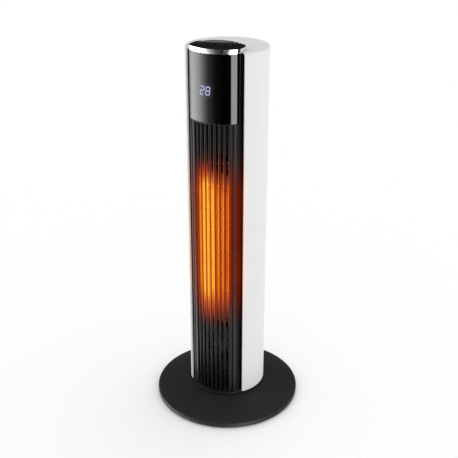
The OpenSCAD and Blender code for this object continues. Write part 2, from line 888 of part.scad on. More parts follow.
module top_cap() {
    color("#ebebe9") {
        intersection() {
            plate_between(shell_top, tower_top) difference() {
                circle(r = tower_r);
                oval(-fit_gap);
                wedge(270, opening_half);
            }
            rotate_extrude() {
                square([tower_r - cap_round, tower_top]);
                square([tower_r, tower_top - cap_round]);
                translate([tower_r - cap_round, tower_top - cap_round]) circle(r = cap_round);
            }
        }
        plate_between(shell_top - 6, shell_top + over) difference() {
            intersection() {
                circle(r = body_r);
                translate([-far / 2, side_end_y + 3]) square([far, far]);
            }
            circle(r = body_r - 3);
            oval(-fit_gap);
        }
        difference() {
            shell_lugs(shell_screw_heights[1] - lug_half_h, shell_top + over);
            lug_holes();
        }
    }
}

module power_board() {
    color("#2a6b3c") translate([-board_hw, rail_y, board_z])
        cube([2 * board_hw, board_t, board_top - board_z]);
}

module board_parts() {
    y = rail_y + board_t;
    mid = (board_z + board_top) / 2;
    color("#2d2f33") {
        translate([plug_x, y, board_z + 1]) cube([10, 14, plug_h]);
        for (x = [-30, -8]) translate([x, y, board_z + 12]) cube([16, 15, 20]);
        translate([14, y, board_z + 10]) cube([24, 18, 30]);
        for (x = [-26, -12]) translate([x, y, mid + 14]) rotate([-90, 0, 0]) cylinder(r = 6, h = 20);
        translate([4, y, mid]) cube([30, 3, 36]);
        for (i = [0 : 5]) translate([4 + i * 5.6, y + 2.5, mid]) cube([2, 14, 36]);
    }
}

// Heater
module heater_frame() {
    open_hw = heater_hw - heater_border;
    color("#202122") {
        difference() {
            translate([-heater_hw, heater_front_y, heater_z])
                cube([2 * heater_hw, heater_depth, heater_h]);
            translate([-open_hw, heater_front_y - over, heater_z + heater_border])
                cube([2 * open_hw, heater_depth + 2 * over, heater_h - 2 * heater_border]);
        }
        for (z = [heater_z + 14, heater_top - 26]) for (side = [-1, 1])
            translate([side * (heater_hw + column_hw - frame_wall - fit_gap) / 2, heater_rear_y - 9, z + 6])
                cube([column_hw - frame_wall - fit_gap - heater_hw + 0.02, 6, 12], center = true);
    }
}

fin_w = (2 * (heater_hw - heater_border) - (fin_columns + 1) * bar_w) / fin_columns;
stack_y = heater_front_y + 4;
stack_depth = heater_depth - 8;
stack_z = heater_z + heater_border;
stack_h = heater_h - 2 * heater_border;

module heater_fins() {
    folds = floor(stack_h / fin_pitch) - 1;
    first = stack_z + (stack_h - folds * fin_pitch) / 2;
    // Thickness of the sheet measured along X, as its folds lie nearly flat
    sheet_x = fin_t * norm([fin_w, fin_pitch / 2]) / (fin_pitch / 2);
    function left_of(i) = i % 2 == 0 ? 0 : fin_w - sheet_x;
    color("#e0762a") for (c = [0 : fin_columns - 1])
        translate([-heater_hw + heater_border + bar_w + c * (fin_w + bar_w), stack_y + stack_depth, 0])
            rotate([90, 0, 0]) linear_extrude(stack_depth) polygon([
                for (i = [0 : 2 * folds]) [left_of(i) + sheet_x, first + i * fin_pitch / 2],
                for (i = [2 * folds : -1 : 0]) [left_of(i), first + i * fin_pitch / 2]
            ]);
}

module ptc_bars() {
    color("#c9b79a") for (c = [0 : fin_columns])
        translate([-heater_hw + heater_border + c * (fin_w + bar_w), stack_y, stack_z])
            cube([bar_w, stack_depth, stack_h]);
}

module thermal_cutout() {
    color("#c8ccd0") translate([18, heater_rear_y - 11, heater_top]) {
        cylinder(r = 8, h = 4);
        cylinder(r = 5.5, h = 7);
    }
}

// Fan
module scroll_section() {
    intersection() {
        translate([scroll_x, scroll_y]) difference() {
            circle(r = scroll_in_r + scroll_wall_t);
            circle(r = scroll_in_r);
        }
        translate([scroll_x, scroll_y]) wedge(scroll_end / 2, scroll_end / 2);
    }
    translate([scroll_x + scroll_in_r, heater_rear_y + fit_gap])
        square([scroll_wall_t, scroll_y - heater_rear_y - fit_gap]);
    intersection() {
        translate([scroll_x, scroll_y]) rotate(scroll_end)
            translate([scroll_in_r + scroll_wall_t / 2, -scroll_wall_t]) square([tower_r, scroll_wall_t]);
        circle(r = body_r - 2);
    }
}

module scroll_wall() {
    color("#26282a") plate_between(casing_z, casing_top) scroll_section();
}

module cutoff_wall() {
    color("#26282a") plate_between(casing_z, casing_top) {
        translate([-tongue_x - tongue_r - scroll_wall_t + 0.8, heater_rear_y + fit_gap])
            square([scroll_wall_t, tongue_y - heater_rear_y - fit_gap]);
        translate([-tongue_x, tongue_y]) circle(r = tongue_r);
        intersection() {
            translate([-tower_r, tongue_y - scroll_wall_t / 2])
                square([tower_r - tongue_x, scroll_wall_t]);
            circle(r = body_r);
        }
    }
}

module casing_plan() {
    difference() {
        intersection() {
            circle(r = body_r);
            translate([-far / 2, casing_front_y]) square([far, far]);
        }
        translate([loom_x, loom_y]) circle(r = loom_r + 0.5);
    }
}

module on_impeller_axis(z) {
    translate([0, impeller_y, z]) children();
}

boss_ring_r = 31;
grommet_r = 5;

module at_motor_bosses(z) {
    on_impeller_axis(z) for (i = [0 : 2]) rotate(90 + i * 120) translate([boss_ring_r, 0]) children();
}

module casing_floor() {
    color("#26282a") difference() {
        union() {
            plate_between(casing_floor_z, casing_z) casing_plan();
            at_motor_bosses(casing_floor_z - boss_h) cylinder(r = grommet_r, h = boss_h + over);
        }
        on_impeller_axis(casing_floor_z - over) cylinder(r = 12, h = casing_t + 2 * over);
        at_motor_bosses(casing_floor_z - boss_h - over)
            cylinder(r = screw_shank_r + 0.05, h = boss_h + over);
    }
}

module casing_roof() {
    color("#26282a") difference() {
        union() {
            plate_between(casing_top, casing_top + casing_t) casing_plan();
            on_impeller_axis(casing_top) cylinder(r = bearing_r + 3, h = bearing_h);
        }
        on_impeller_axis(casing_top - over) cylinder(r = bearing_r + 0.02, h = bearing_h + 2 * over);
    }
}

module upper_bearing() {
    color("#b08d57") on_impeller_axis(0)
        ring(bearing_r, stub_r + shaft_clearance, casing_top, casing_top + bearing_h);
}

module motor_bracket() {
    color("#a9acb0") difference() {
        on_impeller_axis(bracket_z) cylinder(r = bracket_r, h = bracket_t);
        on_impeller_axis(bracket_z - over) cylinder(r = 9, h = bracket_t + 2 * over);
        at_motor_bosses(bracket_z - over) cylinder(r = screw_shank_r + 0.2, h = bracket_t + 2 * over);
    }
}

module motor_grommets() {
    color("#141414") at_motor_bosses(bracket_z + bracket_t) difference() {
        cylinder(r = grommet_r, h = grommet_h);
        translate([0, 0, -over]) cylinder(r = screw_shank_r + 0.1, h = grommet_h + 2 * over);
    }
}

module motor_screws() {
    color("silver") at_motor_bosses(bracket_z) screw(3, 1.8, screw_shank_r, bracket_t + grommet_h + 7);
}

module fan_motor() {
    neck_r = 8;
    color("#55585c") on_impeller_axis(0) difference() {
        union() {
            translate([0, 0, motor_z]) cylinder(r = motor_r - 2, h = motor_h);
            translate([0, 0, motor_z + 8]) cylinder(r = motor_r, h = motor_h - 16);
            translate([0, 0, motor_z]) cylinder(r = neck_r, h = motor_h + bracket_t + 3);
        }
        translate([0, 0, motor_z + 6]) cylinder(r = shaft_r + shaft_clearance, h = motor_h + 10);
        for (a = [0 : 60 : 300]) rotate(a) translate([motor_r - 7, 0, motor_z - over])
            cylinder(r = 2.5, h = 4);
    }
}

module motor_shaft() {
    color("silver") on_impeller_axis(motor_z + 6.5) cylinder(r = shaft_r, h = impeller_z + 6 - motor_z - 6.5);
}

module impeller_hub() {
    color("#1a1a1a") on_impeller_axis(0)
        ring(9, shaft_r + 0.02, casing_floor_z - 3, impeller_z);
}

module blade_section() {
    bend_r = blade_chord;
    mid_r = impeller_r - blade_chord / 2;
    intersection() {
        difference() {
            circle(r = impeller_r - 0.3);
            circle(r = impeller_r - blade_chord);
        }
        translate([mid_r, bend_r * 0.92]) difference() {
            circle(r = bend_r + blade_t / 2);
            circle(r = bend_r - blade_t / 2);
        }
        translate([mid_r - blade_chord, -blade_t]) square([2 * blade_chord, bend_r * 0.8]);
    }
}

module impeller() {
    gap = (impeller_top - impeller_z - disc_t) / (disc_count - 1);
    color("#3a3d40") on_impeller_axis(0) {
        plate_between(impeller_z, impeller_top)
            for (i = [0 : blade_count - 1]) rotate(i * 360 / blade_count) blade_section();
        for (i = [0 : disc_count - 1]) {
            solid = i == 0 || i == disc_count - 1;
            ring(impeller_r, solid ? (i == 0 ? shaft_r + 0.02 : stub_r + 0.02) : impeller_r - blade_chord - 2,
                impeller_z + i * gap, impeller_z + i * gap + disc_t);
        }
        ring(9, stub_r + 0.02, impeller_top - 8, impeller_top);
        ring(9, shaft_r + 0.02, impeller_z, impeller_z + 8);
    }
}

module impeller_stub() {
    color("silver") on_impeller_axis(impeller_top - 8)
        cylinder(r = stub_r, h = casing_top + bearing_h + 1 - impeller_top + 8);
}

// Power switch
module switch_body() {
    hole = [rocker_w + 0.6, 2 * rocker_r + 0.4];
    color("#101010") difference() {
        union() {
            translate([-switch_w / 2 + 1, bezel_y - 16, switch_z - switch_h / 2 + 1])
                cube([switch_w - 2, 16, switch_h - 2]);
            translate([-switch_w / 2 - bezel_t, bezel_y - bezel_t, switch_z - switch_h / 2 - bezel_t])
                cube([switch_w + 2 * bezel_t, bezel_t, switch_h + 2 * bezel_t]);
        }
        translate([-hole[0] / 2, rocker_y - 6.5, switch_z - hole[1] / 2]) cube([hole[0], 20, hole[1]]);
        translate([0, rocker_y, switch_z]) rotate([0, 90, 0])
            cylinder(r = rocker_pin_r + shaft_clearance, h = hole[0] + 2 * rocker_pin_l, center = true);
    }
}

module power_rocker() {
    face = 6.2;
    low = face + 12 * tan(rocker_tilt);
    color("#0c0c0c") translate([0, rocker_y, switch_z]) rotate([90, 0, 90]) {
        translate([0, 0, -rocker_w / 2]) linear_extrude(rocker_w) intersection() {
            circle(r = rocker_r);
            polygon([[-3, -12], [low, -12], [face, 0], [face, 12], [-3, 12]]);
        }
        cylinder(r = rocker_pin_r, h = rocker_w + 2 * rocker_pin_l, center = true);
    }
}

// Wiring inside the tower, from the power board down into the post
function unit(v) = v / norm(v);
// A quarter turn at a corner, from one direction into another
function elbow(corner, from, to) = [for (a = [0 : 15 : 90])
    corner + loom_bend_r * (to - from + from * sin(a) - to * cos(a))];
function carried(side, tangents, i) = i == len(tangents) ? [] :
    let (next = unit(side - tangents[i] * (side * tangents[i])))
    concat([next], carried(next, tangents, i + 1));

module tube_along(path, r, sides) {
    last = len(path) - 1;
    tangents = [for (i = [0 : last]) unit(path[min(i + 1, last)] - path[max(i - 1, 0)])];
    across = carried([0.3, 1, 0.1], tangents, 0);
    points = [for (i = [0 : last]) for (j = [0 : sides - 1]) let (a = j * 360 / sides)
        path[i] + r * (cos(a) * across[i] + sin(a) * cross(tangents[i], across[i]))];
    function at(i, j) = i * sides + j % sides;
    polyhedron(points, [
        [for (j = [sides - 1 : -1 : 0]) at(0, j)],
        for (i = [0 : last - 1]) for (j = [0 : sides - 1]) each [
            [at(i, j), at(i, j + 1), at(i + 1, j + 1)],
            [at(i, j), at(i + 1, j + 1), at(i + 1, j)]],
        [for (j = [0 : sides - 1]) at(last, j)]
    ]);
}

module wire_loom() {
    run_z = post_top + 10;
    top_z = board_z + plug_h / 2 + 1;
    up = [0, 0, 1];
    out = unit([loom_x, loom_y, 0]);
    color("#3b3b3f") tube_along(concat(
        [[0, 0, post_top - 6]],
        elbow([0, 0, run_z], up, out),
        elbow([loom_x, loom_y, run_z], out, up),
        elbow([loom_x, loom_y, top_z], up, [1, 0, 0]),
        [[plug_x, loom_y, top_z]]
    ), loom_r, 10);
}

base_cover();
base_plate();
ballast_plate();
rubber_feet();
base_screws();
pivot_post();
post_nut();
swing_gear();
glide_ring();
cord_gland();
tip_switch();
tip_plunger();
tower_floor();
rear_shell();
intake_cover();
dust_filter();
grip_cup();
front_frame();
grille();
display_panel();
display_board();
led_module();
chrome_trim();
top_cap();
control_panel();
touch_board();
power_board();
board_parts();
heater_frame();
heater_fins();
ptc_bars();
thermal_cutout();
scroll_wall();
cutoff_wall();
casing_floor();
casing_roof();
upper_bearing();
motor_bracket();
motor_grommets();
fan_motor();
motor_screws();
swing_motor();
swing_screws();
shell_screws();
switch_body();
wire_loom();
impeller();
impeller_hub();
motor_shaft();
impeller_stub();
swing_pinion();
pinion_shaft();
power_rocker();
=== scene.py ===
import math

import bmesh
import bpy
from mathutils import Matrix, Vector


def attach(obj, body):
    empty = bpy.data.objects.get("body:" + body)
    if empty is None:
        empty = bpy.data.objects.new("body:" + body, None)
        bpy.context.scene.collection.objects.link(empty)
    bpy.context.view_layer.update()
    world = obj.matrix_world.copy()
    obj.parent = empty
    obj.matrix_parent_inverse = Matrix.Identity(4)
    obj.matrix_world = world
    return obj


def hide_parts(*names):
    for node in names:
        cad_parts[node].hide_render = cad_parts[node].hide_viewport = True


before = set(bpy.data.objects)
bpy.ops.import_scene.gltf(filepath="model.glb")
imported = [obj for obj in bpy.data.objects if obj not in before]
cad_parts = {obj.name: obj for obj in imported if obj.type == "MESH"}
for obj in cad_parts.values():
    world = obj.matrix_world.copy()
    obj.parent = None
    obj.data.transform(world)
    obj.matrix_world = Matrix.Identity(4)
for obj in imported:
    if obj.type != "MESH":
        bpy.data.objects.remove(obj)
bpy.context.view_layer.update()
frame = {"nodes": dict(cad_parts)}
nodes = frame["nodes"]
MM = 0.001
TAU = 2 * math.pi


# Expressions on node sockets

class Signal:
    """The output of a node, which can be used in a sum."""

    def __init__(self, nodes, socket):
        self.nodes, self.socket = nodes, socket

    def __add__(self, other):
        return self.nodes.sum("ADD", self, other)

    def __sub__(self, other):
        return self.nodes.sum("SUBTRACT", self, other)

    def __rsub__(self, other):
        return self.nodes.sum("SUBTRACT", other, self)

    def __mul__(self, other):
        return self.nodes.sum("MULTIPLY", self, other)

    def __truediv__(self, other):
        return self.nodes.sum("DIVIDE", self, other)

    def __pow__(self, other):
        return self.nodes.sum("POWER", self, other)

    def __abs__(self):
        return self.nodes.sum("ABSOLUTE", self)

    def __neg__(self):
        return self.nodes.sum("MULTIPLY", self, -1.0)

    __radd__, __rmul__ = __add__, __mul__


class Nodes:
    """A node tree that grows by one method."""

    def __init__(self, tree):
        self.tree = tree

    def node(self, kind, settings=(), values=(), output=0):
        """Adds a node, sets it, fills or links its inputs and gives one of its outputs."""
        made = self.tree.nodes.new(kind)
        settings = dict(settings)
        stops = settings.pop("stops", None)
        for name, value in settings.items():
            setattr(made, name, value)
        if stops:
            marks = made.color_ramp.elements
            for mark, (at, colour) in ((marks[0], stops[0]), (marks[-1], stops[-1])):
                mark.position, mark.color = at, colour
            for at, colour in stops[1:-1]:
                marks.new(at).color = colour
        for key, value in dict(values).items():
            if isinstance(value, Signal):
                self.tree.links.new(value.socket, made.inputs[key])
            else:
                made.inputs[key].default_value = value
        return Signal(self, made.outputs[output])

    def sum(self, operation, *values):
        return self.node("ShaderNodeMath", {"operation": operation}, dict(enumerate(values)))

    def most(self, a, b):
        return self.sum("MAXIMUM", a, b)

    def step(self, value, start, end, low=0.0, high=1.0):
        """Rises smoothly from low to high while the value goes from start to end."""
        return self.node("ShaderNodeMapRange", {"interpolation_type": "SMOOTHSTEP"},
                         {"Value": value, "From Min": start, "From Max": end, "To Min": low, "To Max": high})

    def mix(self, share, first, second):
        """A colour between two colours."""
        return self.node("ShaderNodeMix", {"data_type": "RGBA"}, {0: share, 6: first, 7: second}, output=2)

    def parts(self, vector):
        """The three numbers of a vector."""
        split = self.node("ShaderNodeSeparateXYZ", (), {0: vector})
        return [Signal(self, out) for out in split.socket.node.outputs]

    def vector(self, x, y, z):
        return self.node("ShaderNodeCombineXYZ", (), {0: x, 1: y, 2: z})


def shade(colour, factor=1.0):
    """A colour with alpha, from three numbers."""
    return (*[min(1.0, c * factor) for c in colour], 1.0)


class Finish(Nodes):
    """A material on the object's own coordinates. Constants are set on the shader's sockets."""

    def __init__(self, name, colour, roughness, **constants):
        self.material = bpy.data.materials.new(name)
        self.material.use_nodes = True
        super().__init__(self.material.node_tree)
        self.shader = self.tree.nodes["Principled BSDF"]
        self.colour, self.roughness = colour, roughness
        self.shader.inputs["Base Color"].default_value = shade(colour)
        self.shader.inputs["Roughness"].default_value = roughness
        for name, value in constants.items():
            self.shader.inputs[name.replace("_", " ")].default_value = value
        self.place = self.node("ShaderNodeTexCoord", (), (), output="Object")

    def feed(self, socket, value):
        self.tree.links.new(value.socket, self.shader.inputs[socket])

    def stretched(self, x=1.0, y=1.0, z=1.0):
        return self.node("ShaderNodeMapping", (), {0: self.place, 3: (x, y, z)})

    def noise(self, size, detail=2.0, roughness=0.5, place=None):
        """Noise from 0 to 1 whose features are about a size in millimetres."""
        return self.node("ShaderNodeTexNoise", (), {"Vector": place or self.place, "Scale": 1 / (size * MM),
                                                    "Detail": detail, "Roughness": roughness})

    def cells(self, size, place=None, feature="F1", output="Distance"):
        return self.node("ShaderNodeTexVoronoi", {"feature": feature},
                         {"Vector": place or self.place, "Scale": 1 / (size * MM)}, output)

    def tinted(self, share, dark=0.86, light=1.12):
        """Colours the surface between a darker and a lighter version of its own colour."""
        self.feed("Base Color", self.mix(share, shade(self.colour, dark), shade(self.colour, light)))

    def lit(self, colour, strength=1.0):
        """Lets the surface give off light of a colour that varies over it."""
        self.feed("Emission Color", colour)
        self.shader.inputs["Emission Strength"].default_value = strength

    def glowing(self, heat_and_painted_glow, strength=1.0):
        """Lets the surface glow in the heater's colours, from 0 to 1. The heater glows by its heat; on the
        slats and frame the glow is the heater's light painted on.
        """
        self.lit(self.node("ShaderNodeValToRGB", {"stops": HEAT_COLOURS}, {0: heat_and_painted_glow}), strength)

    def dulled(self, share, dark, light, glow):
        """Tints the surface and takes its pale reflections back where a glow outshines them."""
        own = self.mix(share, shade(self.colour, dark), shade(self.colour, light))
        self.feed("Base Color", self.mix(glow, own, (0.0006, 0.0004, 0.0003, 1)))
        self.feed("Metallic", glow)

    def rough(self, share, spread):
        """Lets the roughness vary round its own value."""
        self.feed("Roughness", self.roughness + (share - 0.5) * (2 * spread))

    def relief(self, height, depth, strength=1.0, under=None):
        """A bump of a depth in millimetres, on another bump if one is given."""
        values = {"Height": height, "Strength": strength, "Distance": depth * MM}
        if under:
            values["Normal"] = under
        return self.node("ShaderNodeBump", (), values)

    def raised(self, height, depth, strength=1.0, under=None):
        self.feed("Normal", self.relief(height, depth, strength, under))


def moulded(name, colour, roughness, grain, depth, drift=0.04, **constants):
    """Plastic from a textured mould: an eroded grain, slow drifts of tone and handling marks."""
    made = Finish(name, colour, roughness, **constants)
    pits = made.noise(grain, 3.0, 0.6)
    cloud = made.noise(60, 3.0, 0.55)
    wiped = made.noise(14, 4.0, 0.6, made.stretched(1, 1, 0.35))
    made.tinted(cloud * 0.7 + pits * 0.3, 1 - drift * 2, 1 + drift * 2)
    made.rough(wiped * 0.6 + pits * 0.4, 0.08)
    made.raised(pits, depth, 0.8, made.relief(cloud, 0.12, 0.25))
    return made.material


def metal(name, colour, roughness, lines=(1, 1, 30), depth=0.004, **constants):
    """Metal with drawn or turned lines that run along one way, and a slow tarnish."""
    made = Finish(name, colour, roughness, Metallic=1.0, **constants)
    drawn = made.noise(6, 4.0, 0.7, made.stretched(*lines))
    stain = made.noise(25, 3.0)
    made.tinted(stain * 0.6 + drawn * 0.4, 0.82, 1.1)
    made.rough(drawn * 0.7 + stain * 0.3, 0.12)
    made.raised(drawn, depth, 0.6)
    return made.material


def shell_finish():
    """Satin white ABS: a faint orange peel and the slow waviness of a long moulding, with the heater's warm
    light painted on near the opening's edges.
    """
    made = Finish("satin_white_shell", (0.725, 0.725, 0.722), 0.48, Specular_IOR_Level=0.10)
    peel = made.noise(1.1, 2.0)
    sink = made.noise(90, 2.0, 0.5, made.stretched(1, 1, 0.4))
    dust = made.noise(0.35, 2.0)
    x, y, z = made.parts(made.place)
    # Painted light: the heater's warm light is painted into the base colour beside the opening, at the
    # outlet's height
    painted_warmth_near_opening = made.step(made.sum("ARCTAN2", abs(x), -y), math.radians(60), math.radians(47.5))
    plain = made.mix(sink * 0.8 + dust * 0.2, shade(made.colour, 0.985), shade(made.colour, 1.015))
    made.feed("Base Color", made.mix(painted_warmth_near_opening ** 1.6 * painted_glow_height(made, z) * 0.9, plain, (0.92, 0.70, 0.56, 1)))
    made.rough(sink * 0.5 + peel * 0.5, 0.05)
    made.raised(peel, 0.006, 0.5, made.relief(sink, 0.2, 0.12))
    return made.material


def foot_finish():
    """Black foot with a fine leather-like erosion, a little worn towards its rim."""
    made = Finish("eroded_black_foot", (0.0205, 0.0205, 0.0210), 0.62, Specular_IOR_Level=0.16)
    x, y, z = made.parts(made.place)
    reach = (x * x + y * y) ** 0.5
    rim = made.step(reach, 0.138, 0.1535)
    grain = made.noise(0.55, 3.0, 0.65)
    cell = made.cells(0.9)
    cloud = made.noise(45, 3.0, 0.6)
    wear = made.noise(9, 4.0, 0.7) * rim
    made.tinted(cloud * 0.45 + grain * 0.3 + wear * 0.5, 0.8, 1.28)
    made.feed("Roughness", 0.6 + (grain - 0.5) * 0.16 - wear * 0.2)
    made.raised(grain * 0.6 + cell * 0.4, 0.045, 0.7)
    return made.material


# Heights between which the heater glows, and the middle and half size of the lit digits, in metres
HOT_FROM, HOT_TO = 0.195, 0.530
DIGITS_X, DIGITS_Z, DIGITS_HALF_W, DIGITS_HALF_H = -0.0091, 0.6962, 0.0105, 0.0085
# Colour of the glow at a level, from cold to the heater's brightest yellow; the same colours paint the
# heater's light on the slats and frame
HEAT_COLOURS = [(heat_and_painted_glow, (*colour, 1)) for heat_and_painted_glow, colour in (
    (0.0, (0.0, 0.0, 0.0)), (0.1, (0.085, 0.005, 0.0)), (0.40, (0.40, 0.034, 0.0)),
    (0.60, (0.60, 0.100, 0.002)), (0.80, (0.82, 0.215, 0.008)), (1.0, (1.0, 0.47, 0.035)))]


def painted_glow_height(made, z):
    """How much painted heater light falls at a height of the outlet, from 0 to 1."""
    return made.step(z, 0.600, 0.490) ** 1.5 * made.step(z, 0.190, 0.310)


def slat_finish():
    """Heat-resistant black of the outlet, satin, with flow lines down the slats. The heater's light is
    painted on the slats as an orange glow, most on their left edges and on the flanks that face right."""
    made = Finish("satin_black_slats", (0.0085, 0.0082, 0.0080), 0.36, Specular_IOR_Level=0.13)
    x, y, z = made.parts(made.place)
    # Place across each slat, 0.5 at its middle. The front's radius over the pitch turns angles to slats
    along = made.sum("ARCTAN2", x, -y) * (79.5 / 9.8)
    side = made.sum("FRACT", along + 0.5)
    # Painted light: the heater's orange glow, painted as emission on the slats' left edges, right-facing
    # flanks and faces, over the hot band's height
    painted_glow_flank = made.step(side, 0.68, 0.77) * made.step(x, 0.018, -0.006) * made.step(z, 0.590, 0.500)
    edge = (made.step(side, 0.43, 0.35) + painted_glow_flank) * 0.66
    edges = edge * made.step(z, 0.625, 0.500) ** 1.5 * made.step(z, 0.190, 0.305)
    faces = made.step(z, 0.575, 0.490) ** 1.5 * made.step(z, 0.185, 0.330) * 0.38
    reach = made.step(x, 0.0450, 0.0375) * (0.08 + made.step(x, -0.045, -0.009) * 0.92)
    middle = 1.24 - made.step(abs(x + 0.010), 0.006, 0.046) * 0.50
    patch = made.noise(34, 3.0, 0.6, made.stretched(1, 1, 0.5))
    fleck = made.noise(4.5, 3.0, 0.7, made.stretched(1, 1, 0.7))
    heat_and_painted_glow = (edges + faces) * reach * middle * (0.46 + patch * 0.44 + fleck * 0.64)
    made.glowing(heat_and_painted_glow)
    flow = made.noise(5, 3.0, 0.6, made.stretched(1, 1, 0.06))
    grain = made.noise(0.4, 2.0)
    made.dulled(flow * 0.6 + grain * 0.4, 0.75, 1.3, painted_glow_height(made, z) * 0.9)
    made.rough(flow * 0.5 + grain * 0.5, 0.1)
    made.raised(grain, 0.012, 0.6, made.relief(flow, 0.05, 0.3))
    return made.material


def frame_finish():
    """Satin black of the column's frame, with the heater's light painted on as a faint glow near the outlet.
    """
    made = Finish("satin_black_frame", (0.0085, 0.0085, 0.0088), 0.42, Specular_IOR_Level=0.11)
    x, y, z = made.parts(made.place)
    grain = made.noise(0.5, 3.0, 0.6)
    cloud = made.noise(60, 3.0, 0.55)
    # Painted light: a faint heater glow painted as emission on the frame's front near the outlet
    heat_and_painted_glow = painted_glow_height(made, z) * made.step(y, -0.031, -0.058) * (0.07 + cloud * 0.12)
    made.glowing(heat_and_painted_glow)
    made.dulled(cloud * 0.7 + grain * 0.3, 0.88, 1.12, painted_glow_height(made, z) * 0.75)
    made.rough(grain, 0.08)
    made.raised(grain, 0.02, 0.8, made.relief(cloud, 0.12, 0.25))
    return made.material


def window_finish():
    """Smoked glossy window, with the soft light that the digits spread in it."""
    made = Finish("smoked_window", (0.0008, 0.0008, 0.0010), 0.06, Specular_IOR_Level=0.5, Coat_Weight=0.3,
                  Coat_Roughness=0.04, IOR=1.49)
    x, y, z = made.parts(made.place)
    across = made.most(abs(x - DIGITS_X) - DIGITS_HALF_W, 0.0)
    above = made.most(abs(z - DIGITS_Z) - DIGITS_HALF_H, 0.0)
    away = (across * across + above * above) ** 0.5
    halo = made.step(away, 0.011, 0.0) ** 2.2
    wisps = made.noise(22, 4.0, 0.6, made.stretched(1, 1, 0.5))
    made.lit(made.mix(halo, (0, 0, 0, 1), (0.010, 0.013, 0.045, 1)))
    made.rough(wisps, 0.03)
    made.feed("Base Color", made.mix(wisps, (0.0006, 0.0006, 0.0008, 1), (0.0012, 0.0012, 0.0015, 1)))
    made.raised(made.noise(55, 1.0), 0.03, 0.15)
    return made.material


def lamp_finish(name, colour, strength):
    """Lit plastic, a little uneven like a diffuser over small lamps."""
    made = Finish(name, (0.03, 0.03, 0.034), 0.5, Specular_IOR_Level=0.2)
    glow = made.noise(2.5, 2.0)
    made.lit(made.mix(glow, shade(colour, 0.86), shade(colour)), strength)
    return made.material


def hot_finish(name, colour, gain):
    """Hot metal of the heater: brightest a little left of its middle, with cooler spots and ends."""
    made = Finish(name, colour, 0.6)
    x, y, z = made.parts(made.place)
    rise = (made.step(z, HOT_FROM - 0.01, HOT_FROM + 0.08)
            * made.step(z, HOT_TO, HOT_TO - 0.06))
    spread = 1.12 - made.step(abs(x + 0.019), 0.006, 0.042) * 0.50
    patch = made.noise(28, 3.0, 0.6, made.stretched(1.6, 1, 0.5))
    spark = made.noise(3.2, 2.0, 0.6, made.stretched(1, 1, 1.8))
    heat_and_painted_glow = rise * spread * (0.60 + patch * 0.54) * (0.58 + spark * 0.78)
    made.glowing(heat_and_painted_glow * 0.95, gain)
    made.feed("Base Color", made.mix(patch, shade(colour, 0.8), shade(colour, 1.15)))
    made.raised(spark, 0.05, 0.4)
    return made.material


def board_finish():
    """Green solder mask over a net of tracks, with small bright pads."""
    made = Finish("solder_mask", (0.004, 0.016, 0.009), 0.45, Specular_IOR_Level=0.2)
    place = made.stretched(1, 0.001, 1)
    tracks = made.step(made.cells(4.5, place, "DISTANCE_TO_EDGE"), 0.05, 0.09)
    pads = made.step(made.cells(3.1, place), 0.2, 0.16)
    base = made.mix(tracks, (0.006, 0.020, 0.011, 1), (0.003, 0.010, 0.006, 1))
    made.feed("Base Color", made.mix(pads, base, (0.05, 0.047, 0.04, 1)))
    made.feed("Metallic", pads * 0.9)
    made.raised(tracks, 0.03, 0.5)
    return made.material


def net_finish():
    """Dust filter: a woven net with fine square meshes."""
    made = Finish("woven_net", (0.075, 0.08, 0.085), 0.7)
    x, y, z = made.parts(made.place)
    turn = made.sum("ARCTAN2", x, y) * 0.0765
    warp = abs(made.sum("SINE", turn * (math.pi / 0.0012)))
    weft = abs(made.sum("SINE", z * (math.pi / 0.0012)))
    thread = made.most(warp, weft)
    made.tinted(made.step(thread, 0.55, 0.95), 0.25, 1.25)
    made.raised(thread, 0.25, 0.9)
    return made.material


def sleeve_finish():
    """Braided sleeve over the wires."""
    made = Finish("braided_sleeve", (0.05, 0.05, 0.055), 0.75)
    weave = made.node("ShaderNodeTexWave", {"bands_direction": "DIAGONAL"},
                      {"Vector": made.place, "Scale": 240.0, "Distortion": 1.5, "Detail": 1.0}, "Fac")
    made.tinted(weave, 0.6, 1.5)
    made.raised(weave, 0.3, 0.8)
    return made.material


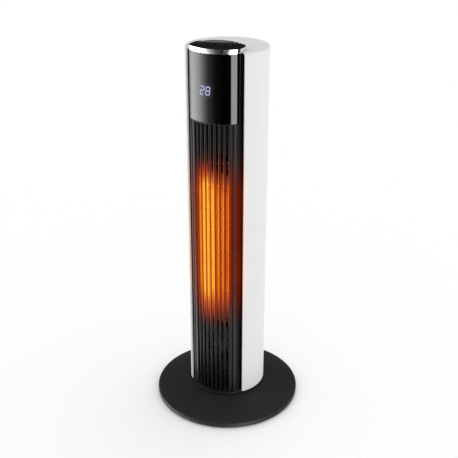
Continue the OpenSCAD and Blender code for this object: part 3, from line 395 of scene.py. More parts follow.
finishes = {
    "foot": foot_finish(),
    "shell": shell_finish(),
    "slats": slat_finish(),
    "window": window_finish(),
    "frame": frame_finish(),
    "inner": moulded("satin_black_moulding", (0.011, 0.011, 0.0115), 0.45, 0.5, 0.02, 0.06),
    "grip": moulded("textured_white", (0.74, 0.74, 0.735), 0.5, 0.45, 0.03, 0.01),
    "touch": moulded("touch_glass_black", (0.012, 0.0122, 0.013), 0.14, 0.3, 0.002, 0.05, Coat_Weight=0.6,
                     Coat_Roughness=0.06),
    "switch": moulded("switch_black", (0.013, 0.013, 0.013), 0.36, 0.4, 0.015, 0.06),
    "mark": moulded("printed_grey", (0.055, 0.056, 0.060), 0.4, 0.5, 0.004, 0.03),
    "mark_white": moulded("printed_white", (0.7, 0.7, 0.7), 0.45, 0.4, 0.004, 0.02),
    "chrome": metal("bright_plating", (0.90, 0.905, 0.915), 0.21, (1, 1, 4), 0.001),
    "zinc": metal("zinc_plated_steel", (0.60, 0.61, 0.62), 0.34, (1, 1, 20)),
    "pressed": metal("pressed_steel", (0.50, 0.51, 0.53), 0.42, (1, 12, 1), 0.006),
    "blackened": metal("blackened_steel", (0.085, 0.086, 0.090), 0.42, (1, 1, 8)),
    "bronze": metal("sintered_bronze", (0.62, 0.42, 0.22), 0.5, (1, 1, 1), 0.01),
    "ballast": moulded("coated_plate", (0.06, 0.062, 0.066), 0.55, 1.4, 0.05, 0.1, Metallic=0.3),
    "rubber": moulded("soft_rubber", (0.018, 0.018, 0.018), 0.8, 0.7, 0.05, 0.08),
    "acetal": moulded("natural_acetal", (0.76, 0.75, 0.70), 0.38, 0.8, 0.01, 0.02, Subsurface_Weight=0.1),
    "cases": moulded("component_cases", (0.04, 0.042, 0.048), 0.5, 0.6, 0.03, 0.15),
    "fan": moulded("glass_filled_black", (0.022, 0.023, 0.025), 0.52, 0.9, 0.05, 0.15),
    "board": board_finish(),
    "net": net_finish(),
    "sleeve": sleeve_finish(),
    "diffuser": lamp_finish("led_block", (0.5, 0.52, 0.65), 0.02),
    "digits": lamp_finish("lit_digits", (0.50, 0.53, 0.70), 1.08),
    "fins": hot_finish("hot_fins", (0.30, 0.16, 0.08), 1.0),
    "bars": hot_finish("hot_bars", (0.22, 0.13, 0.08), 0.55),
    "heater": moulded("scorched_steel", (0.022, 0.019, 0.017), 0.5, 1.2, 0.03, 0.2, Metallic=0.6),
}

# Every node that is shown as it comes from the frame, with its finish
node_finish = {
    "base_plate": "inner", "ballast_plate": "ballast", "rubber_feet": "rubber", "base_screws": "zinc",
    "pivot_post": "zinc", "post_nut": "zinc", "swing_gear": "fan", "glide_ring": "acetal",
    "cord_gland": "rubber", "tip_switch": "cases", "tip_plunger": "acetal", "tower_floor": "inner",
    "dust_filter": "net", "grip_cup": "grip", "front_frame": "frame", "display_board": "board",
    "led_module": "diffuser", "touch_board": "board", "power_board": "board", "board_parts": "cases",
    "heater_frame": "heater", "ptc_bars": "bars", "thermal_cutout": "zinc", "scroll_wall": "inner",
    "cutoff_wall": "inner", "casing_floor": "inner", "casing_roof": "inner", "upper_bearing": "bronze",
    "motor_bracket": "pressed", "motor_grommets": "rubber", "fan_motor": "pressed", "motor_screws": "zinc",
    "swing_motor": "zinc", "swing_screws": "zinc", "shell_screws": "blackened", "switch_body": "switch",
    "wire_loom": "sleeve", "impeller": "fan", "impeller_hub": "rubber", "motor_shaft": "zinc",
    "impeller_stub": "zinc", "swing_pinion": "fan", "pinion_shaft": "zinc", "power_rocker": "switch",
    "base_cover": "foot", "rear_shell": "shell", "intake_cover": "shell", "grille": "slats",
    "display_panel": "window", "chrome_trim": "chrome", "top_cap": "shell", "control_panel": "touch",
    "heater_fins": "fins",
}
for name, finish in node_finish.items():
    mesh = nodes[name].data
    mesh.materials.clear()
    mesh.materials.append(finishes[finish])


# Pieces and the ways to make them

def piece(name, mesh, finish, body, stands_for=(), crease=40):
    """Puts a mesh, in metres, on a body as a finished piece."""
    for polygon in mesh.polygons:
        polygon.use_smooth = True
    if crease:
        mesh.set_sharp_from_angle(angle=math.radians(crease))
    mesh.materials.clear()
    mesh.materials.append(finishes[finish])
    made = bpy.data.objects.new(name, mesh)
    bpy.context.scene.collection.objects.link(made)
    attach(made, body)
    if stands_for:
        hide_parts(*stands_for)
    return made


def mesh_of(name, points, faces, outwards=True):
    """A mesh from points in millimetres, its doubles merged and its faces turned outwards."""
    mesh = bpy.data.meshes.new(name)
    mesh.from_pydata([[c * MM for c in p] for p in points], [], faces)
    shape = bmesh.new()
    shape.from_mesh(mesh)
    bmesh.ops.remove_doubles(shape, verts=shape.verts, dist=1e-6)
    if outwards:
        bmesh.ops.recalc_face_normals(shape, faces=shape.faces)
    shape.to_mesh(mesh)
    shape.free()
    return mesh


def joined(name, meshes):
    """Several meshes as one."""
    shape = bmesh.new()
    for mesh in meshes:
        shape.from_mesh(mesh)
    made = bpy.data.meshes.new(name)
    shape.to_mesh(made)
    shape.free()
    return made


def evaluated(holder):
    """A plain mesh of what an object's modifiers make, without the object."""
    graph = bpy.context.evaluated_depsgraph_get()
    made = bpy.data.meshes.new_from_object(holder.evaluated_get(graph))
    if holder.type == "MESH":
        holder.modifiers.clear()
    bpy.data.objects.remove(holder)
    return made


def arc(centre, r, start, end, steps):
    """Points round a centre, from one angle in degrees to another, both included."""
    return [(centre[0] + r * math.cos(math.radians(start + (end - start) * i / steps)),
             centre[1] + r * math.sin(math.radians(start + (end - start) * i / steps)))
            for i in range(steps + 1)]


def rounded_outline(x0, x1, z0, z1, r, steps=8):
    """A rectangle with round corners."""
    return [*arc((x1 - r, z1 - r), r, 0, 90, steps), *arc((x0 + r, z1 - r), r, 90, 180, steps),
            *arc((x0 + r, z0 + r), r, 180, 270, steps), *arc((x1 - r, z0 + r), r, 270, 360, steps)]


def lathe(name, profile, steps=192):
    """Turns a closed profile of (radius, height) round the Z axis."""
    count = len(profile)
    points = [(r * math.cos(TAU * i / steps), r * math.sin(TAU * i / steps), z)
              for i in range(steps) for r, z in profile]
    faces = [(i * count + j, (i + 1) % steps * count + j, (i + 1) % steps * count + (j + 1) % count,
              i * count + (j + 1) % count) for i in range(steps) for j in range(count)]
    return mesh_of(name, points, faces)


def sweep(name, stations, profile, closed):
    """Lays a closed profile of (inset, height) along stations of a point and its outward normal."""
    count, length = len(profile), len(stations)
    points = [(p[0] - n[0] * inset, p[1] - n[1] * inset, z) for p, n in stations for inset, z in profile]
    spans = length if closed else length - 1
    faces = [(i * count + j, (i + 1) % length * count + j, (i + 1) % length * count + (j + 1) % count,
              i * count + (j + 1) % count) for i in range(spans) for j in range(count)]
    if not closed:
        faces += [tuple(range(count)), tuple(range((length - 1) * count, length * count))]
    return mesh_of(name, points, faces)


def sheet_plate(name, outlines, thickness, rounding, place, strip=0, span=(0, 0), steps=2):
    """A flat plate with rounded edges, cut in strips and bent. The first outline is the border,
    the others are holes, and place(x, z, depth) says where a point lies."""
    curve = bpy.data.curves.new(name, "CURVE")
    curve.dimensions, curve.fill_mode = "2D", "BOTH"
    curve.extrude = thickness / 2 - rounding
    curve.bevel_depth, curve.bevel_resolution, curve.offset = rounding, steps, -rounding
    for outline in outlines:
        line = curve.splines.new("POLY")
        line.points.add(len(outline) - 1)
        for point, (x, z) in zip(line.points, outline):
            point.co = (x, z, 0, 1)
        line.use_cyclic_u = True
    holder = bpy.data.objects.new(name, curve)
    bpy.context.scene.collection.objects.link(holder)
    mesh = evaluated(holder)
    shape = bmesh.new()
    shape.from_mesh(mesh)
    bmesh.ops.remove_doubles(shape, verts=shape.verts, dist=1e-4)
    if strip:
        for i in range(int((span[1] - span[0]) / strip) + 1):
            bmesh.ops.bisect_plane(shape, geom=shape.verts[:] + shape.edges[:] + shape.faces[:], dist=1e-5,
                                   plane_co=(span[0] + i * strip, 0, 0), plane_no=(1, 0, 0))
    bmesh.ops.recalc_face_normals(shape, faces=shape.faces)
    for point in shape.verts:
        point.co = Vector(place(*point.co)) * MM
    shape.to_mesh(mesh)
    shape.free()
    return mesh


def cut(mesh, cutter):
    """Takes one mesh out of another."""
    holder = bpy.data.objects.new("cut", mesh)
    tool = bpy.data.objects.new("tool", cutter)
    for each in (holder, tool):
        bpy.context.scene.collection.objects.link(each)
    change = holder.modifiers.new("cut", "BOOLEAN")
    change.operation, change.object, change.solver = "DIFFERENCE", tool, "EXACT"
    made = evaluated(holder)
    bpy.data.objects.remove(tool)
    return made


# Sizes of the tower, in millimetres
TOWER_R, WALL = 80.0, 3.5
COLUMN_HW, FRONT_R, CORNER_R, REAR_R, REAR_CORNER_R = 52.5, 79.5, 18.0, 62.0, 29.0
CORNER_X, REAR_X = COLUMN_HW - CORNER_R, COLUMN_HW - REAR_CORNER_R
FRONT_Y = -math.sqrt((FRONT_R - CORNER_R) ** 2 - CORNER_X ** 2)
REAR_Y = -REAR_R + math.sqrt((REAR_R - REAR_CORNER_R) ** 2 - REAR_X ** 2)
FRONT_HALF = math.atan2(CORNER_X, -FRONT_Y)
REAR_HALF = math.atan2(REAR_X, REAR_Y + REAR_R)
FRONT_LENGTH = FRONT_R * FRONT_HALF
OPENING = 48.5
CORNER_LENGTH = CORNER_R * (math.pi / 2 - FRONT_HALF)
FLOOR_TOP, GRILLE_TOP, WINDOW_Z, WINDOW_TOP = 38.5, 634.7, 635.0, 764.2
TRIM_Z, TRIM_TOP, TOWER_TOP, SHELL_TOP, SHELL_Z = 764.5, 773.5, 766.0, 762.7, 36.0


def on_column(along, inset=0.0):
    """A point and normal on the oval column, at a length from the middle of its front."""
    side, s = math.copysign(1, along), abs(along)
    if s <= FRONT_LENGTH:
        a = s / FRONT_R
        normal, point = (math.sin(a), -math.cos(a)), (FRONT_R * math.sin(a), -FRONT_R * math.cos(a))
    elif s <= FRONT_LENGTH + CORNER_LENGTH:
        a = FRONT_HALF + (s - FRONT_LENGTH) / CORNER_R
        normal = (math.sin(a), -math.cos(a))
        point = (CORNER_X + CORNER_R * normal[0], FRONT_Y + CORNER_R * normal[1])
    else:
        normal, point = (1.0, 0.0), (CORNER_X + CORNER_R, FRONT_Y + s - FRONT_LENGTH - CORNER_LENGTH)
    return ((side * (point[0] - normal[0] * inset), point[1] - normal[1] * inset),
            (side * normal[0], normal[1]))


def column_ring(turn=1.5):
    """Stations all round the oval column, closed, a few degrees apart."""
    def round_off(centre, r, start, end):
        steps = max(2, round(abs(end - start) / turn))
        return [((centre[0] + r * math.cos(a), centre[1] + r * math.sin(a)), (math.cos(a), math.sin(a)))
                for a in (math.radians(start + (end - start) * i / steps) for i in range(steps))]
    front, rear = math.degrees(FRONT_HALF), math.degrees(REAR_HALF)
    return [*round_off((0, 0), FRONT_R, 270 - front, 270 + front),
            *round_off((CORNER_X, FRONT_Y), CORNER_R, 270 + front, 360),
            *round_off((REAR_X, REAR_Y), REAR_CORNER_R, 0, 90 - rear),
            *round_off((0, -REAR_R), REAR_R, 90 - rear, 90 + rear),
            *round_off((-REAR_X, REAR_Y), REAR_CORNER_R, 90 + rear, 180),
            *round_off((-CORNER_X, FRONT_Y), CORNER_R, 180, 270 - front)]


def on_tower_rear(thickness):
    """Bends a plate round the tower, its middle at the rear."""
    def place(u, z, depth):
        a, r = math.pi / 2 + u / TOWER_R, TOWER_R - thickness / 2 + depth
        return r * math.cos(a), r * math.sin(a), z
    return place


def on_column_front(thickness, behind=0.0):
    """Bends a plate round the front of the oval column."""
    def place(s, z, depth):
        (x, y), _ = on_column(s, behind + thickness / 2 - depth)
        return x, y, z
    return place


class Layout(Nodes):
    """A Geometry Nodes tree with named sizes. It ends in Realize Instances and Set Material."""

    KINDS = {int: "NodeSocketInt", float: "NodeSocketFloat", tuple: "NodeSocketVector",
             bpy.types.Object: "NodeSocketObject"}

    def __init__(self, name, **sizes):
        super().__init__(bpy.data.node_groups.new(name, "GeometryNodeTree"))
        self.tree.interface.new_socket("Geometry", in_out="OUTPUT", socket_type="NodeSocketGeometry")
        self.sizes = sizes
        self.names = {n: self.tree.interface.new_socket(n, in_out="INPUT", socket_type=self.KINDS[type(v)])
                      for n, v in sizes.items()}
        self.entry = self.tree.nodes.new("NodeGroupInput")

    def size(self, name):
        return Signal(self, self.entry.outputs[name])

    def made(self, geometry, finish):
        """The mesh that the tree gives with its sizes."""
        real = self.node("GeometryNodeRealizeInstances", (), {0: geometry})
        real = self.node("GeometryNodeSetMaterial", (), {"Geometry": real, "Material": finishes[finish]})
        self.tree.links.new(real.socket, self.tree.nodes.new("NodeGroupOutput").inputs[0])
        holder = bpy.data.objects.new(self.tree.name, bpy.data.meshes.new(self.tree.name))
        bpy.context.scene.collection.objects.link(holder)
        change = holder.modifiers.new("layout", "NODES")
        change.node_group = self.tree
        for name, value in self.sizes.items():
            change[self.names[name].identifier] = value
        holder.update_tag()
        return evaluated(holder)


def copies(name, mesh, finish, count, step=(0.0, 0.0, 0.0), turn=0.0, first=0.0):
    """Repeats a mesh by a step and a turn round the tower's axis, in a Geometry Nodes tree."""
    pattern = bpy.data.objects.new(name + "_pattern", mesh)
    bpy.context.scene.collection.objects.link(pattern)
    plan = Layout(name, Pattern=pattern, Count=count, Step=tuple(c * MM for c in step),
                  Turn=math.radians(turn), First=math.radians(first))
    line = plan.node("GeometryNodeMeshLine", (), {"Count": plan.size("Count"), "Offset": plan.size("Step")})
    index = plan.node("GeometryNodeInputIndex")
    angle = plan.size("First") + index * plan.size("Turn")
    shape = plan.node("GeometryNodeObjectInfo", (), {"Object": plan.size("Pattern")}, "Geometry")
    laid = plan.node("GeometryNodeInstanceOnPoints", (), {
        "Points": line, "Instance": shape, "Rotation": plan.vector(0.0, 0.0, angle)})
    made = plan.made(laid, finish)
    bpy.data.objects.remove(pattern)
    return made


def folded_sheet(name, width, depth, pitch, folds, thickness, corner, finish):
    """A strip of thin sheet folded to and fro over a height, in a Geometry Nodes tree."""
    plan = Layout(name, Width=width * MM, Depth=depth * MM, Pitch=pitch * MM, Folds=folds,
                  Thickness=thickness * MM, Corner=tuple(c * MM for c in corner))
    count = plan.size("Folds") * 2 + 1
    line = plan.node("GeometryNodeMeshLine", (), {
        "Count": count, "Start Location": plan.size("Corner"),
        "Offset": plan.vector(0.0, 0.0, plan.size("Pitch") / 2)})
    side = plan.sum("MODULO", plan.node("GeometryNodeInputIndex"), 2.0)
    moved = plan.node("GeometryNodeSetPosition", (), {
        "Geometry": line, "Offset": plan.vector(side * plan.size("Width"), 0.0, 0.0)})
    path = plan.node("GeometryNodeMeshToCurve", (), {0: moved})
    path = plan.node("GeometryNodeSetCurveNormal", {"mode": "FREE"}, {"Curve": path, "Normal": (0, 1, 0)})
    edge = plan.node("GeometryNodeCurvePrimitiveQuadrilateral", (), {
        "Width": plan.size("Thickness"), "Height": plan.size("Depth")})
    solid = plan.node("GeometryNodeCurveToMesh", (),
                      {"Curve": path, "Profile Curve": edge, "Fill Caps": True})
    return plan.made(solid, finish)


# Foot

def foot_profile():
    """Outline of the domed cover, from the crown's hole round the rim and back inside."""
    base_r, crown_z, rim_z, crown_r, hole_r = 153.5, 31.0, 14.0, 72.0, 14.8
    wall, lift, soft = 2.6, 2.0, 3.0
    edge = base_r - 2.5
    low = (crown_z ** 2 - rim_z ** 2 - edge ** 2 + crown_r ** 2) / (2 * (crown_z - rim_z))
    dome = math.hypot(crown_r, crown_z - low)
    soft_z = low + math.sqrt((dome - soft) ** 2 - (base_r - soft) ** 2)
    start = math.degrees(math.atan2(soft_z - low, base_r - soft))

    def dome_line(r, reach, steps):
        return [(x, low + math.sqrt(r * r - x * x)) for x in
                (crown_r + (reach - crown_r) * i / steps for i in range(steps + 1))]
    outside = [(hole_r, crown_z), (40, crown_z), (66, crown_z),
               *dome_line(dome, (base_r - soft) * dome / (dome - soft), 26)[1:-1],
               *reversed(arc((base_r - soft, soft_z), soft, 0, start, 8)),
               (base_r, 6.0), (base_r - 0.15, 3.0), (base_r - 0.9, lift + 0.1), (base_r - 1.3, lift)]
    inside = [(base_r - wall + 0.5, lift), (base_r - wall, lift + 0.5), (base_r - wall, soft_z - 1.5),
              *reversed(dome_line(dome - wall, base_r - wall - 2.2, 20)), (hole_r, crown_z - wall)]
    return outside + inside


cover = lathe("foot_cover", foot_profile(), 256)
GLAND_R, GLAND_Z, SIDES = 3.9, 7.6, 24
gland_ring = arc((0, 0), GLAND_R, 0, 345, SIDES - 1)
gland_hole = mesh_of("gland_hole", [(x, y, z + GLAND_Z) for y in (140.0, 160.0) for x, z in gland_ring],
                     [tuple(range(SIDES)), tuple(range(SIDES, 2 * SIDES)),
                      *[(i, (i + 1) % SIDES, SIDES + (i + 1) % SIDES, SIDES + i) for i in range(SIDES)]])
piece("foot_cover", cut(cover, gland_hole), "foot", "foot", ["base_cover"], 50)

# White shell, its rear openings and the cap

SCREW_U = [TOWER_R * math.radians(a - 90) for a in (22, 158)]
opening_u = TOWER_R * math.radians(180 - OPENING)
intake_u = TOWER_R * math.radians(40)


def bent_slot(half_w, half_h, r, z):
    """The unrolled outline of a slot that is cut straight through the tower's rear."""
    return [(TOWER_R * math.asin(x / TOWER_R), zz)
            for x, zz in rounded_outline(-half_w, half_w, z - half_h, z + half_h, r, 10)]


shell_outline = rounded_outline(-opening_u, opening_u, SHELL_Z, SHELL_TOP, 0.9, 3)
shell_holes = [rounded_outline(-intake_u, intake_u, 184.3, 546.0, 1.2, 4), bent_slot(47.8, 18.8, 10.8, 706.0),
               bent_slot(9.2, 12.2, 0.8, 78.0)]
shell_holes += [arc((u, z), 3.8, 0, 345, 23) for u in SCREW_U for z in (52.0, 746.7)]
shell = sheet_plate("rear_shell_skin", [shell_outline, *shell_holes], WALL, 0.6, on_tower_rear(WALL), 2.0,
                    (-184, 184), 3)
piece("rear_shell_skin", shell, "shell", "tower", ["rear_shell"], 35)


def cap_outline():
    """Outline of the flat cap: round the tower, and back along the column's oval."""
    ring = [(p[0] + n[0] * 0.3, p[1] + n[1] * 0.3) for p, n in column_ring(1.5)]
    left = math.radians(270 - OPENING)
    right = math.radians(OPENING - 90)
    outer = [(TOWER_R * math.cos(a), TOWER_R * math.sin(a))
             for a in (right + (left - right) * i / 160 for i in range(161))]

    def cuts(p, q, a):
        """Where a segment crosses the ray at an angle from the axis."""
        d = (math.cos(a), math.sin(a))
        e = (q[0] - p[0], q[1] - p[1])
        cross = d[0] * e[1] - d[1] * e[0]
        if abs(cross) < 1e-9:
            return None
        t = (p[0] * e[1] - p[1] * e[0]) / cross
        s = (p[0] * d[1] - p[1] * d[0]) / cross
        return (t * d[0], t * d[1]) if t > 20 and 0 <= s <= 1 else None
    ends = {}
    for i, (p, q) in enumerate(zip(ring, ring[1:] + ring[:1])):
        for key, a in (("left", left), ("right", right)):
            hit = cuts(p, q, a)
            if hit:
                ends[key] = (i, hit)
    (start, first), (stop, last) = ends["right"], ends["left"]
    inner = [ring[(start + 1 + i) % len(ring)] for i in range((stop - start) % len(ring))]
    return [*outer, last, *reversed(inner), first]


CAP_T, CAP_SOFT = 3.3, 2.6


def cap_place(x, y, depth):
    """Rounds the outer rim of the flat cap: points near the rim drop as they go outwards."""
    z = TOWER_TOP - CAP_T / 2 + depth
    past = math.hypot(x, y) - TOWER_R + CAP_SOFT
    if depth > 0 and past > 0:
        z -= CAP_SOFT - math.sqrt(max(0.0, CAP_SOFT ** 2 - past ** 2))
    return x, y, z


cap = sheet_plate("top_cap_skin", [cap_outline()], CAP_T, 0.35, cap_place)
piece("top_cap_skin", cap, "shell", "tower", ["top_cap"], 35)

# Intake cover: a frame, slanted louvres and ribs behind them

low, high, half = 184.6, 545.7, TOWER_R * math.radians(40) - 0.3
cover_lines = [rounded_outline(-half, half, low, high, 1.0, 3),
               rounded_outline(-half + 4.2, half - 4.2, low + 6, high - 6, 2.0, 5)]
cover_frame = sheet_plate("intake_frame", cover_lines, 3.4, 0.5, on_tower_rear(3.4), 2.0, (-56, 56), 3)
louvre_profile = [(78.9 + 0.9 * math.cos(a), 2.0 + 0.9 * math.sin(a)) for a in
                  (math.radians(d) for d in range(-60, 150, 30))]
louvre_profile += [(77.9 + 0.7 * math.cos(a), -1.9 + 0.7 * math.sin(a)) for a in
                   (math.radians(d) for d in range(130, 330, 30))]
louvre_stations = [((math.cos(a), math.sin(a)), (math.cos(a), math.sin(a))) for a in
                   (math.radians(90 + 38.4 * (i / 36 - 1)) for i in range(73))]
louvre = sweep("louvre", louvre_stations, [(1 - r, z) for r, z in louvre_profile], False)
louvre_count, louvre_pitch = 34, 10.0
louvre.transform(Matrix.Translation((0, 0, ((low + high - (louvre_count - 1) * louvre_pitch) / 2) * MM)))
louvres = copies("louvres", louvre, "shell", louvre_count, (0.0, 0.0, louvre_pitch))
rib = sheet_plate("rib", [rounded_outline(-2.0, 2.0, low + 1, high - 1, 0.5, 2)], 1.8, 0.3,
                  lambda x, z, d: (x, 77.6 + d, z))
ribs = copies("intake_ribs", rib, "shell", 3, turn=20.0, first=-20.0)
piece("intake_cover_skin", joined("intake_cover_skin", [cover_frame, louvres, ribs]), "shell", "tower",
      ["intake_cover"], 35)

# Outlet: slats, side stiles, end rings and hoops

SLAT_PITCH, SLAT_W, SLAT_DEPTH, SLATS = 9.8, 5.6, 7.0, 7
STILE_FROM, STILE_W = SLAT_PITCH * (SLATS // 2) + SLAT_W / 2 + 4.6, 9.0
slat_low = FLOOR_TOP + 0.3
nose = [(-math.cos(a) * SLAT_W / 2, -FRONT_R + SLAT_W / 2 - math.sin(a) * SLAT_W / 2)
        for a in (math.pi * i / 14 for i in range(15))]
tail_y = -FRONT_R + SLAT_DEPTH
slat_section = nose + [(SLAT_W / 2 - 0.35, tail_y - 0.5), (SLAT_W / 2 - 0.9, tail_y),
                       (-SLAT_W / 2 + 0.9, tail_y), (-SLAT_W / 2 + 0.35, tail_y - 0.5)]
ends = [(slat_low, 0.96), (slat_low + 0.3, 1.0), (GRILLE_TOP - 0.3, 1.0), (GRILLE_TOP, 0.96)]
middle_y = -FRONT_R + SLAT_DEPTH / 2
count = len(slat_section)
slat_sides = [(row + i, row + (i + 1) % count, row + count + (i + 1) % count, row + count + i)
              for row in (0, count, 2 * count) for i in range(count)]
slat = mesh_of("slat", [(x * k, middle_y + (y - middle_y) * k, z) for z, k in ends for x, y in slat_section],
               [tuple(range(count)), tuple(range(3 * count, 4 * count)), *slat_sides])
turn = math.degrees(SLAT_PITCH / FRONT_R)
slats = copies("slats", slat, "slats", SLATS, turn=turn, first=-turn * (SLATS - 1) / 2)

# Each stile stops short of the frame, so a dark line shows between them
STILE_T, STILE_GAP = 5.0, 1.4
stiles = []
for side in (-1, 1):
    near, far = sorted((side * STILE_FROM, side * (STILE_FROM + STILE_W - STILE_GAP)))
    stiles.append(sheet_plate("stile", [rounded_outline(near, far, slat_low, GRILLE_TOP, 0.8, 3)],
                              STILE_T, 1.1, on_column_front(STILE_T), 1.0, (-46, 46), 4))


def arc_stations(reach, step=1.5):
    """Stations along the column's front, out to a length on each side."""
    steps = int(2 * reach / step)
    return [on_column(-reach + 2 * reach * i / steps) for i in range(steps + 1)]


def soft_bar(deep, depth, z, height, r=0.5):
    """Section of a bar that lies behind the column's face."""
    return [(inset, zz) for inset, zz in rounded_outline(deep, deep + depth, z, z + height, r, 3)]


hoop = sweep("hoop", arc_stations(STILE_FROM + 1.4), soft_bar(4.5, 2.5, FLOOR_TOP + 7 + 46.5 - 1, 2.0), False)
hoops = copies("hoops", hoop, "slats", 12, (0.0, 0.0, 46.5))
rings = [sweep("end_ring", arc_stations(STILE_FROM + 1.4), soft_bar(0.8, 6.2, z, 3.0), False)
         for z in (slat_low, GRILLE_TOP - 3.0)]
piece("outlet_grille", joined("outlet_grille", [slats, hoops, *stiles, *rings]), "slats", "tower", ["grille"],
      40)

# Window and lit digits

window_end = FRONT_LENGTH + CORNER_LENGTH - 0.3
window = sheet_plate("window", [rounded_outline(-window_end, window_end, WINDOW_Z, WINDOW_TOP, 1.2, 5)],
                     2.5, 0.6, on_column_front(2.5), 0.8, (-68, 68), 4)
piece("display_window", window, "window", "tower", ["display_panel"], 30)

SEGMENTS = {"2": "abged", "8": "abcdefg"}


def segment_outlines(figure, x, z, w, h, t, lean=0.10):
    """Outlines of the lit segments of one figure, with its lower left corner at x, z."""
    g, mid = 0.22, h / 2

    def across(zc):
        return [(t / 2 + g, zc), (t + g, zc + t / 2), (w - t - g, zc + t / 2), (w - t / 2 - g, zc),
                (w - t - g, zc - t / 2), (t + g, zc - t / 2)]

    def upright(xc, z0, z1):
        return [(xc, z0 + t / 2 + g), (xc - t / 2, z0 + t + g), (xc - t / 2, z1 - t - g),
                (xc, z1 - t / 2 - g), (xc + t / 2, z1 - t - g), (xc + t / 2, z0 + t + g)]
    shapes = {"a": across(h - t / 2), "g": across(mid), "d": across(t / 2),
              "b": upright(w - t / 2, mid - t / 2, h), "c": upright(w - t / 2, 0, mid + t / 2),
              "f": upright(t / 2, mid - t / 2, h), "e": upright(t / 2, 0, mid + t / 2)}
    return [[(x + px + lean * pz, z + pz) for px, pz in shapes[s]] for s in SEGMENTS[figure]]


def along_front(x):
    """Length along the column's front arc at an x."""
    return FRONT_R * math.asin(x / FRONT_R)


FIGURE_Z, FIGURE_W, FIGURE_H, STROKE, FILM_T = 687.9, 9.2, 16.6, 1.7, 0.12
lit = []
for figure, x in (("2", -19.9), ("8", -7.7)):
    for outline in segment_outlines(figure, x, FIGURE_Z, FIGURE_W, FIGURE_H, STROKE):
        lit.append(sheet_plate("segment", [[(along_front(px), pz) for px, pz in outline]], FILM_T, 0.03,
                               on_column_front(FILM_T, -0.1), 1.0, (-22, 6), 1))
piece("lit_figures", joined("lit_figures", lit), "digits", "tower", (), 0)

# Top: chrome rim, touch panel and its printed marks

trim_profile = [(3.6, TRIM_Z), (3.6, TRIM_Z + 2), (1.6, TRIM_Z + 2), (1.6, TRIM_TOP - 0.4),
                *[(1.2 + 0.4 * math.cos(a), TRIM_TOP - 0.4 + 0.4 * math.sin(a))
                  for a in (math.pi / 2 * i / 4 for i in range(1, 5))],
                *[(0.8 + 0.8 * math.cos(a), TRIM_TOP - 0.8 + 0.8 * math.sin(a))
                  for a in (math.pi / 2 + math.pi / 2 * i / 6 for i in range(7))],
                (0.0, TRIM_Z + 0.5), (0.15, TRIM_Z + 0.15), (0.5, TRIM_Z)]
piece("chrome_rim", sweep("chrome_rim", column_ring(), trim_profile, True), "chrome", "tower",
      ["chrome_trim"], 35)

touch_outline = [(p[0] - n[0] * 1.9, p[1] - n[1] * 1.9) for p, n in column_ring()]
touch = sheet_plate("touch_panel", [touch_outline], 2.3, 0.5, lambda x, y, d: (x, y, 772.15 + d), steps=3)
piece("touch_panel", touch, "touch", "tower", ["control_panel"], 35)


def flat_mark(outlines, x, y):
    """A thin printed mark on the touch panel."""
    return sheet_plate("mark", [[(x + px, y + py) for px, py in line] for line in outlines], 0.05, 0.01,
                       lambda px, py, d: (px, py, 773.32 + d), steps=0)


def ring_lines(r, w):
    return [arc((0, 0), r, 0, 350, 35), arc((0, 0), r - w, 0, 350, 35)]


bar = rounded_outline(-1.9, 1.9, -0.28, 0.28, 0.2, 2)
post = rounded_outline(-0.28, 0.28, -1.9, 1.9, 0.2, 2)
plus = [(-1.9, -0.28), (-0.28, -0.28), (-0.28, -1.9), (0.28, -1.9), (0.28, -0.28), (1.9, -0.28), (1.9, 0.28),
        (0.28, 0.28), (0.28, 1.9), (-0.28, 1.9), (-0.28, 0.28), (-1.9, 0.28)]
marks = []
for (x, y), inner in (((-35.5, -39.7), [post]), ((-16.5, -37.1), [bar]), ((3.5, -36.9), [plus]),
                      ((20.2, -36.2), ring_lines(1.9, 0.5))):
    marks.append(flat_mark(ring_lines(4.4, 0.4), x, y))
    marks.append(flat_mark(inner, x, y))
piece("touch_marks", joined("touch_marks", marks), "mark", "tower", (), 0)

# Heater: tightly folded fins between the bars

columns, bar_w, open_half, fin_x0 = 4, 4.0, 34.0, -34.0
fin_w = (2 * open_half - (columns + 1) * bar_w) / columns
fins = [folded_sheet("fins_%d" % c, fin_w - 0.4, 15.6, 2.5, 131, 0.32,
                     (fin_x0 + bar_w + c * (fin_w + bar_w) + 0.2, -56 + 4 + 8, 198.5), "fins")
        for c in range(columns)]
piece("heater_fins_fine", joined("heater_fins_fine", fins), "fins", "tower", ["heater_fins"], 30)

# Signs on the rocker of the power switch

ROCKER_Y, SWITCH_Z = math.sqrt(TOWER_R ** 2 - 9 ** 2) + 0.8 - 6.7, 78.0
face_y = ROCKER_Y + 6.2


def on_rocker_top(x, z, d):
    return x, face_y + d + 0.02, z


def on_rocker_low(x, z, d):
    lean = math.radians(18)
    run = SWITCH_Z - z
    return x, face_y + run * math.tan(lean) + (d + 0.02) * math.cos(lean), z - (d + 0.02) * math.sin(lean)


line_sign = [rounded_outline(-0.3, 0.3, SWITCH_Z + 2.4, SWITCH_Z + 5.4, 0.25, 2)]
ring_sign = [[(x, z + SWITCH_Z - 4.2) for x, z in line] for line in ring_lines(1.6, 0.5)]
signs = [sheet_plate("sign", outlines, 0.06, 0.01, place, steps=0)
         for outlines, place in ((line_sign, on_rocker_top), (ring_sign, on_rocker_low))]
piece("rocker_signs", joined("rocker_signs", signs), "mark_white", "power_rocker", (), 0)


# Stage, light and camera

floor = bpy.data.objects.new("studio_floor", mesh_of("studio_floor", [
    (-9000, -9000, 0), (9000, -9000, 0), (9000, 9000, 0), (-9000, 9000, 0)], [(0, 1, 2, 3)], False))
bpy.context.scene.collection.objects.link(floor)
floor.data.materials.append(moulded("pale_floor", (0.97, 0.97, 0.97), 0.9, 40, 0.0, 0.0,
                                    Specular_IOR_Level=0.0))
floor.visible_glossy = False

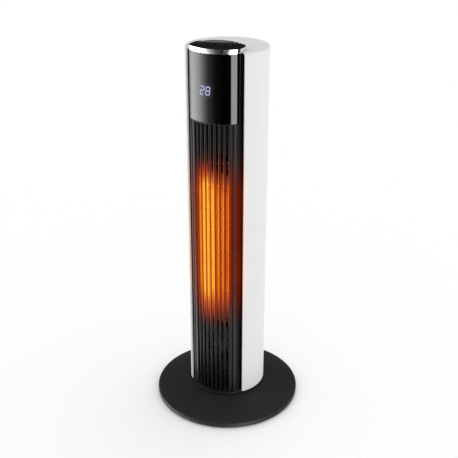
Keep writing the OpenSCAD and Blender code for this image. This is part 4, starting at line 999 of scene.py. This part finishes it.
world = bpy.data.worlds.new("soft_studio")
bpy.context.scene.world = world
world.use_nodes = True
sky = Nodes(world.node_tree)
toward = sky.node("ShaderNodeTexCoord", (), (), output="Generated")
sx, sy, sz = sky.parts(toward)
bearing = sky.sum("ARCTAN2", sx, -sy) * (180 / math.pi)
# Bearings go from 0 at the front to 90 at the right. Glossy surfaces see a soft box at the left, a
# narrow one at the right and a dim field behind, and matt ones see an even fill with brighter sides
left_box = sky.node("ShaderNodeValToRGB", {"stops": [(at, (v, v, v, 1)) for at, v in (
    (0.0, 0.0), (0.263, 0.0), (0.358, 0.12), (0.432, 0.44), (0.479, 0.78), (0.526, 0.95), (0.57, 0.95),
    (0.64, 0.85), (0.72, 0.40), (0.795, 0.10), (0.90, 0.012), (1.0, 0.0))]}, {0: (bearing + 180) / 190})
right_box = sky.step(bearing, 34, 37) * sky.step(bearing, 80, 77)
level = sky.step(sz, 0.46, 0.30)
behind = sky.step(abs(bearing), 118, 140) * sky.step(sz, 0.10, -0.05)
rear_left = sky.step(-bearing, 70, 120)
fill = 1.0 + (sky.step(abs(bearing), 40, 90) * 0.9 - rear_left * 1.5) * level
seen = 0.004 + (left_box * 5.0 + right_box * 5.6) * level + behind * 1.1
glossy = sky.node("ShaderNodeLightPath", (), (), output="Is Glossy Ray")
camera_ray = sky.node("ShaderNodeLightPath", (), (), output="Is Camera Ray")
strength = fill * (1 - glossy) + seen * glossy
strength = strength * (1 - camera_ray) + camera_ray * 1.0
back = sky.tree.nodes["Background"]
sky.tree.links.new(strength.socket, back.inputs["Strength"])
back.inputs["Color"].default_value = (1.0, 1.0, 1.0, 1.0)

lens = bpy.data.cameras.new("camera")
camera = bpy.data.objects.new("camera", lens)
bpy.context.scene.collection.objects.link(camera)
lens.sensor_width, lens.lens = 36.0, 64.9
lens.shift_x = 0.0037
lens.clip_start, lens.clip_end = 0.05, 60.0
heading, pitch = math.radians(25.0), math.radians(24.576)
away, height = 1.5446, 1.0936
camera.location = (away * math.sin(heading), -away * math.cos(heading), height)
camera.rotation_euler = (math.pi / 2 - pitch, 0.0, heading)
bpy.context.scene.camera = camera
bpy.context.scene.view_settings.view_transform = "Standard"
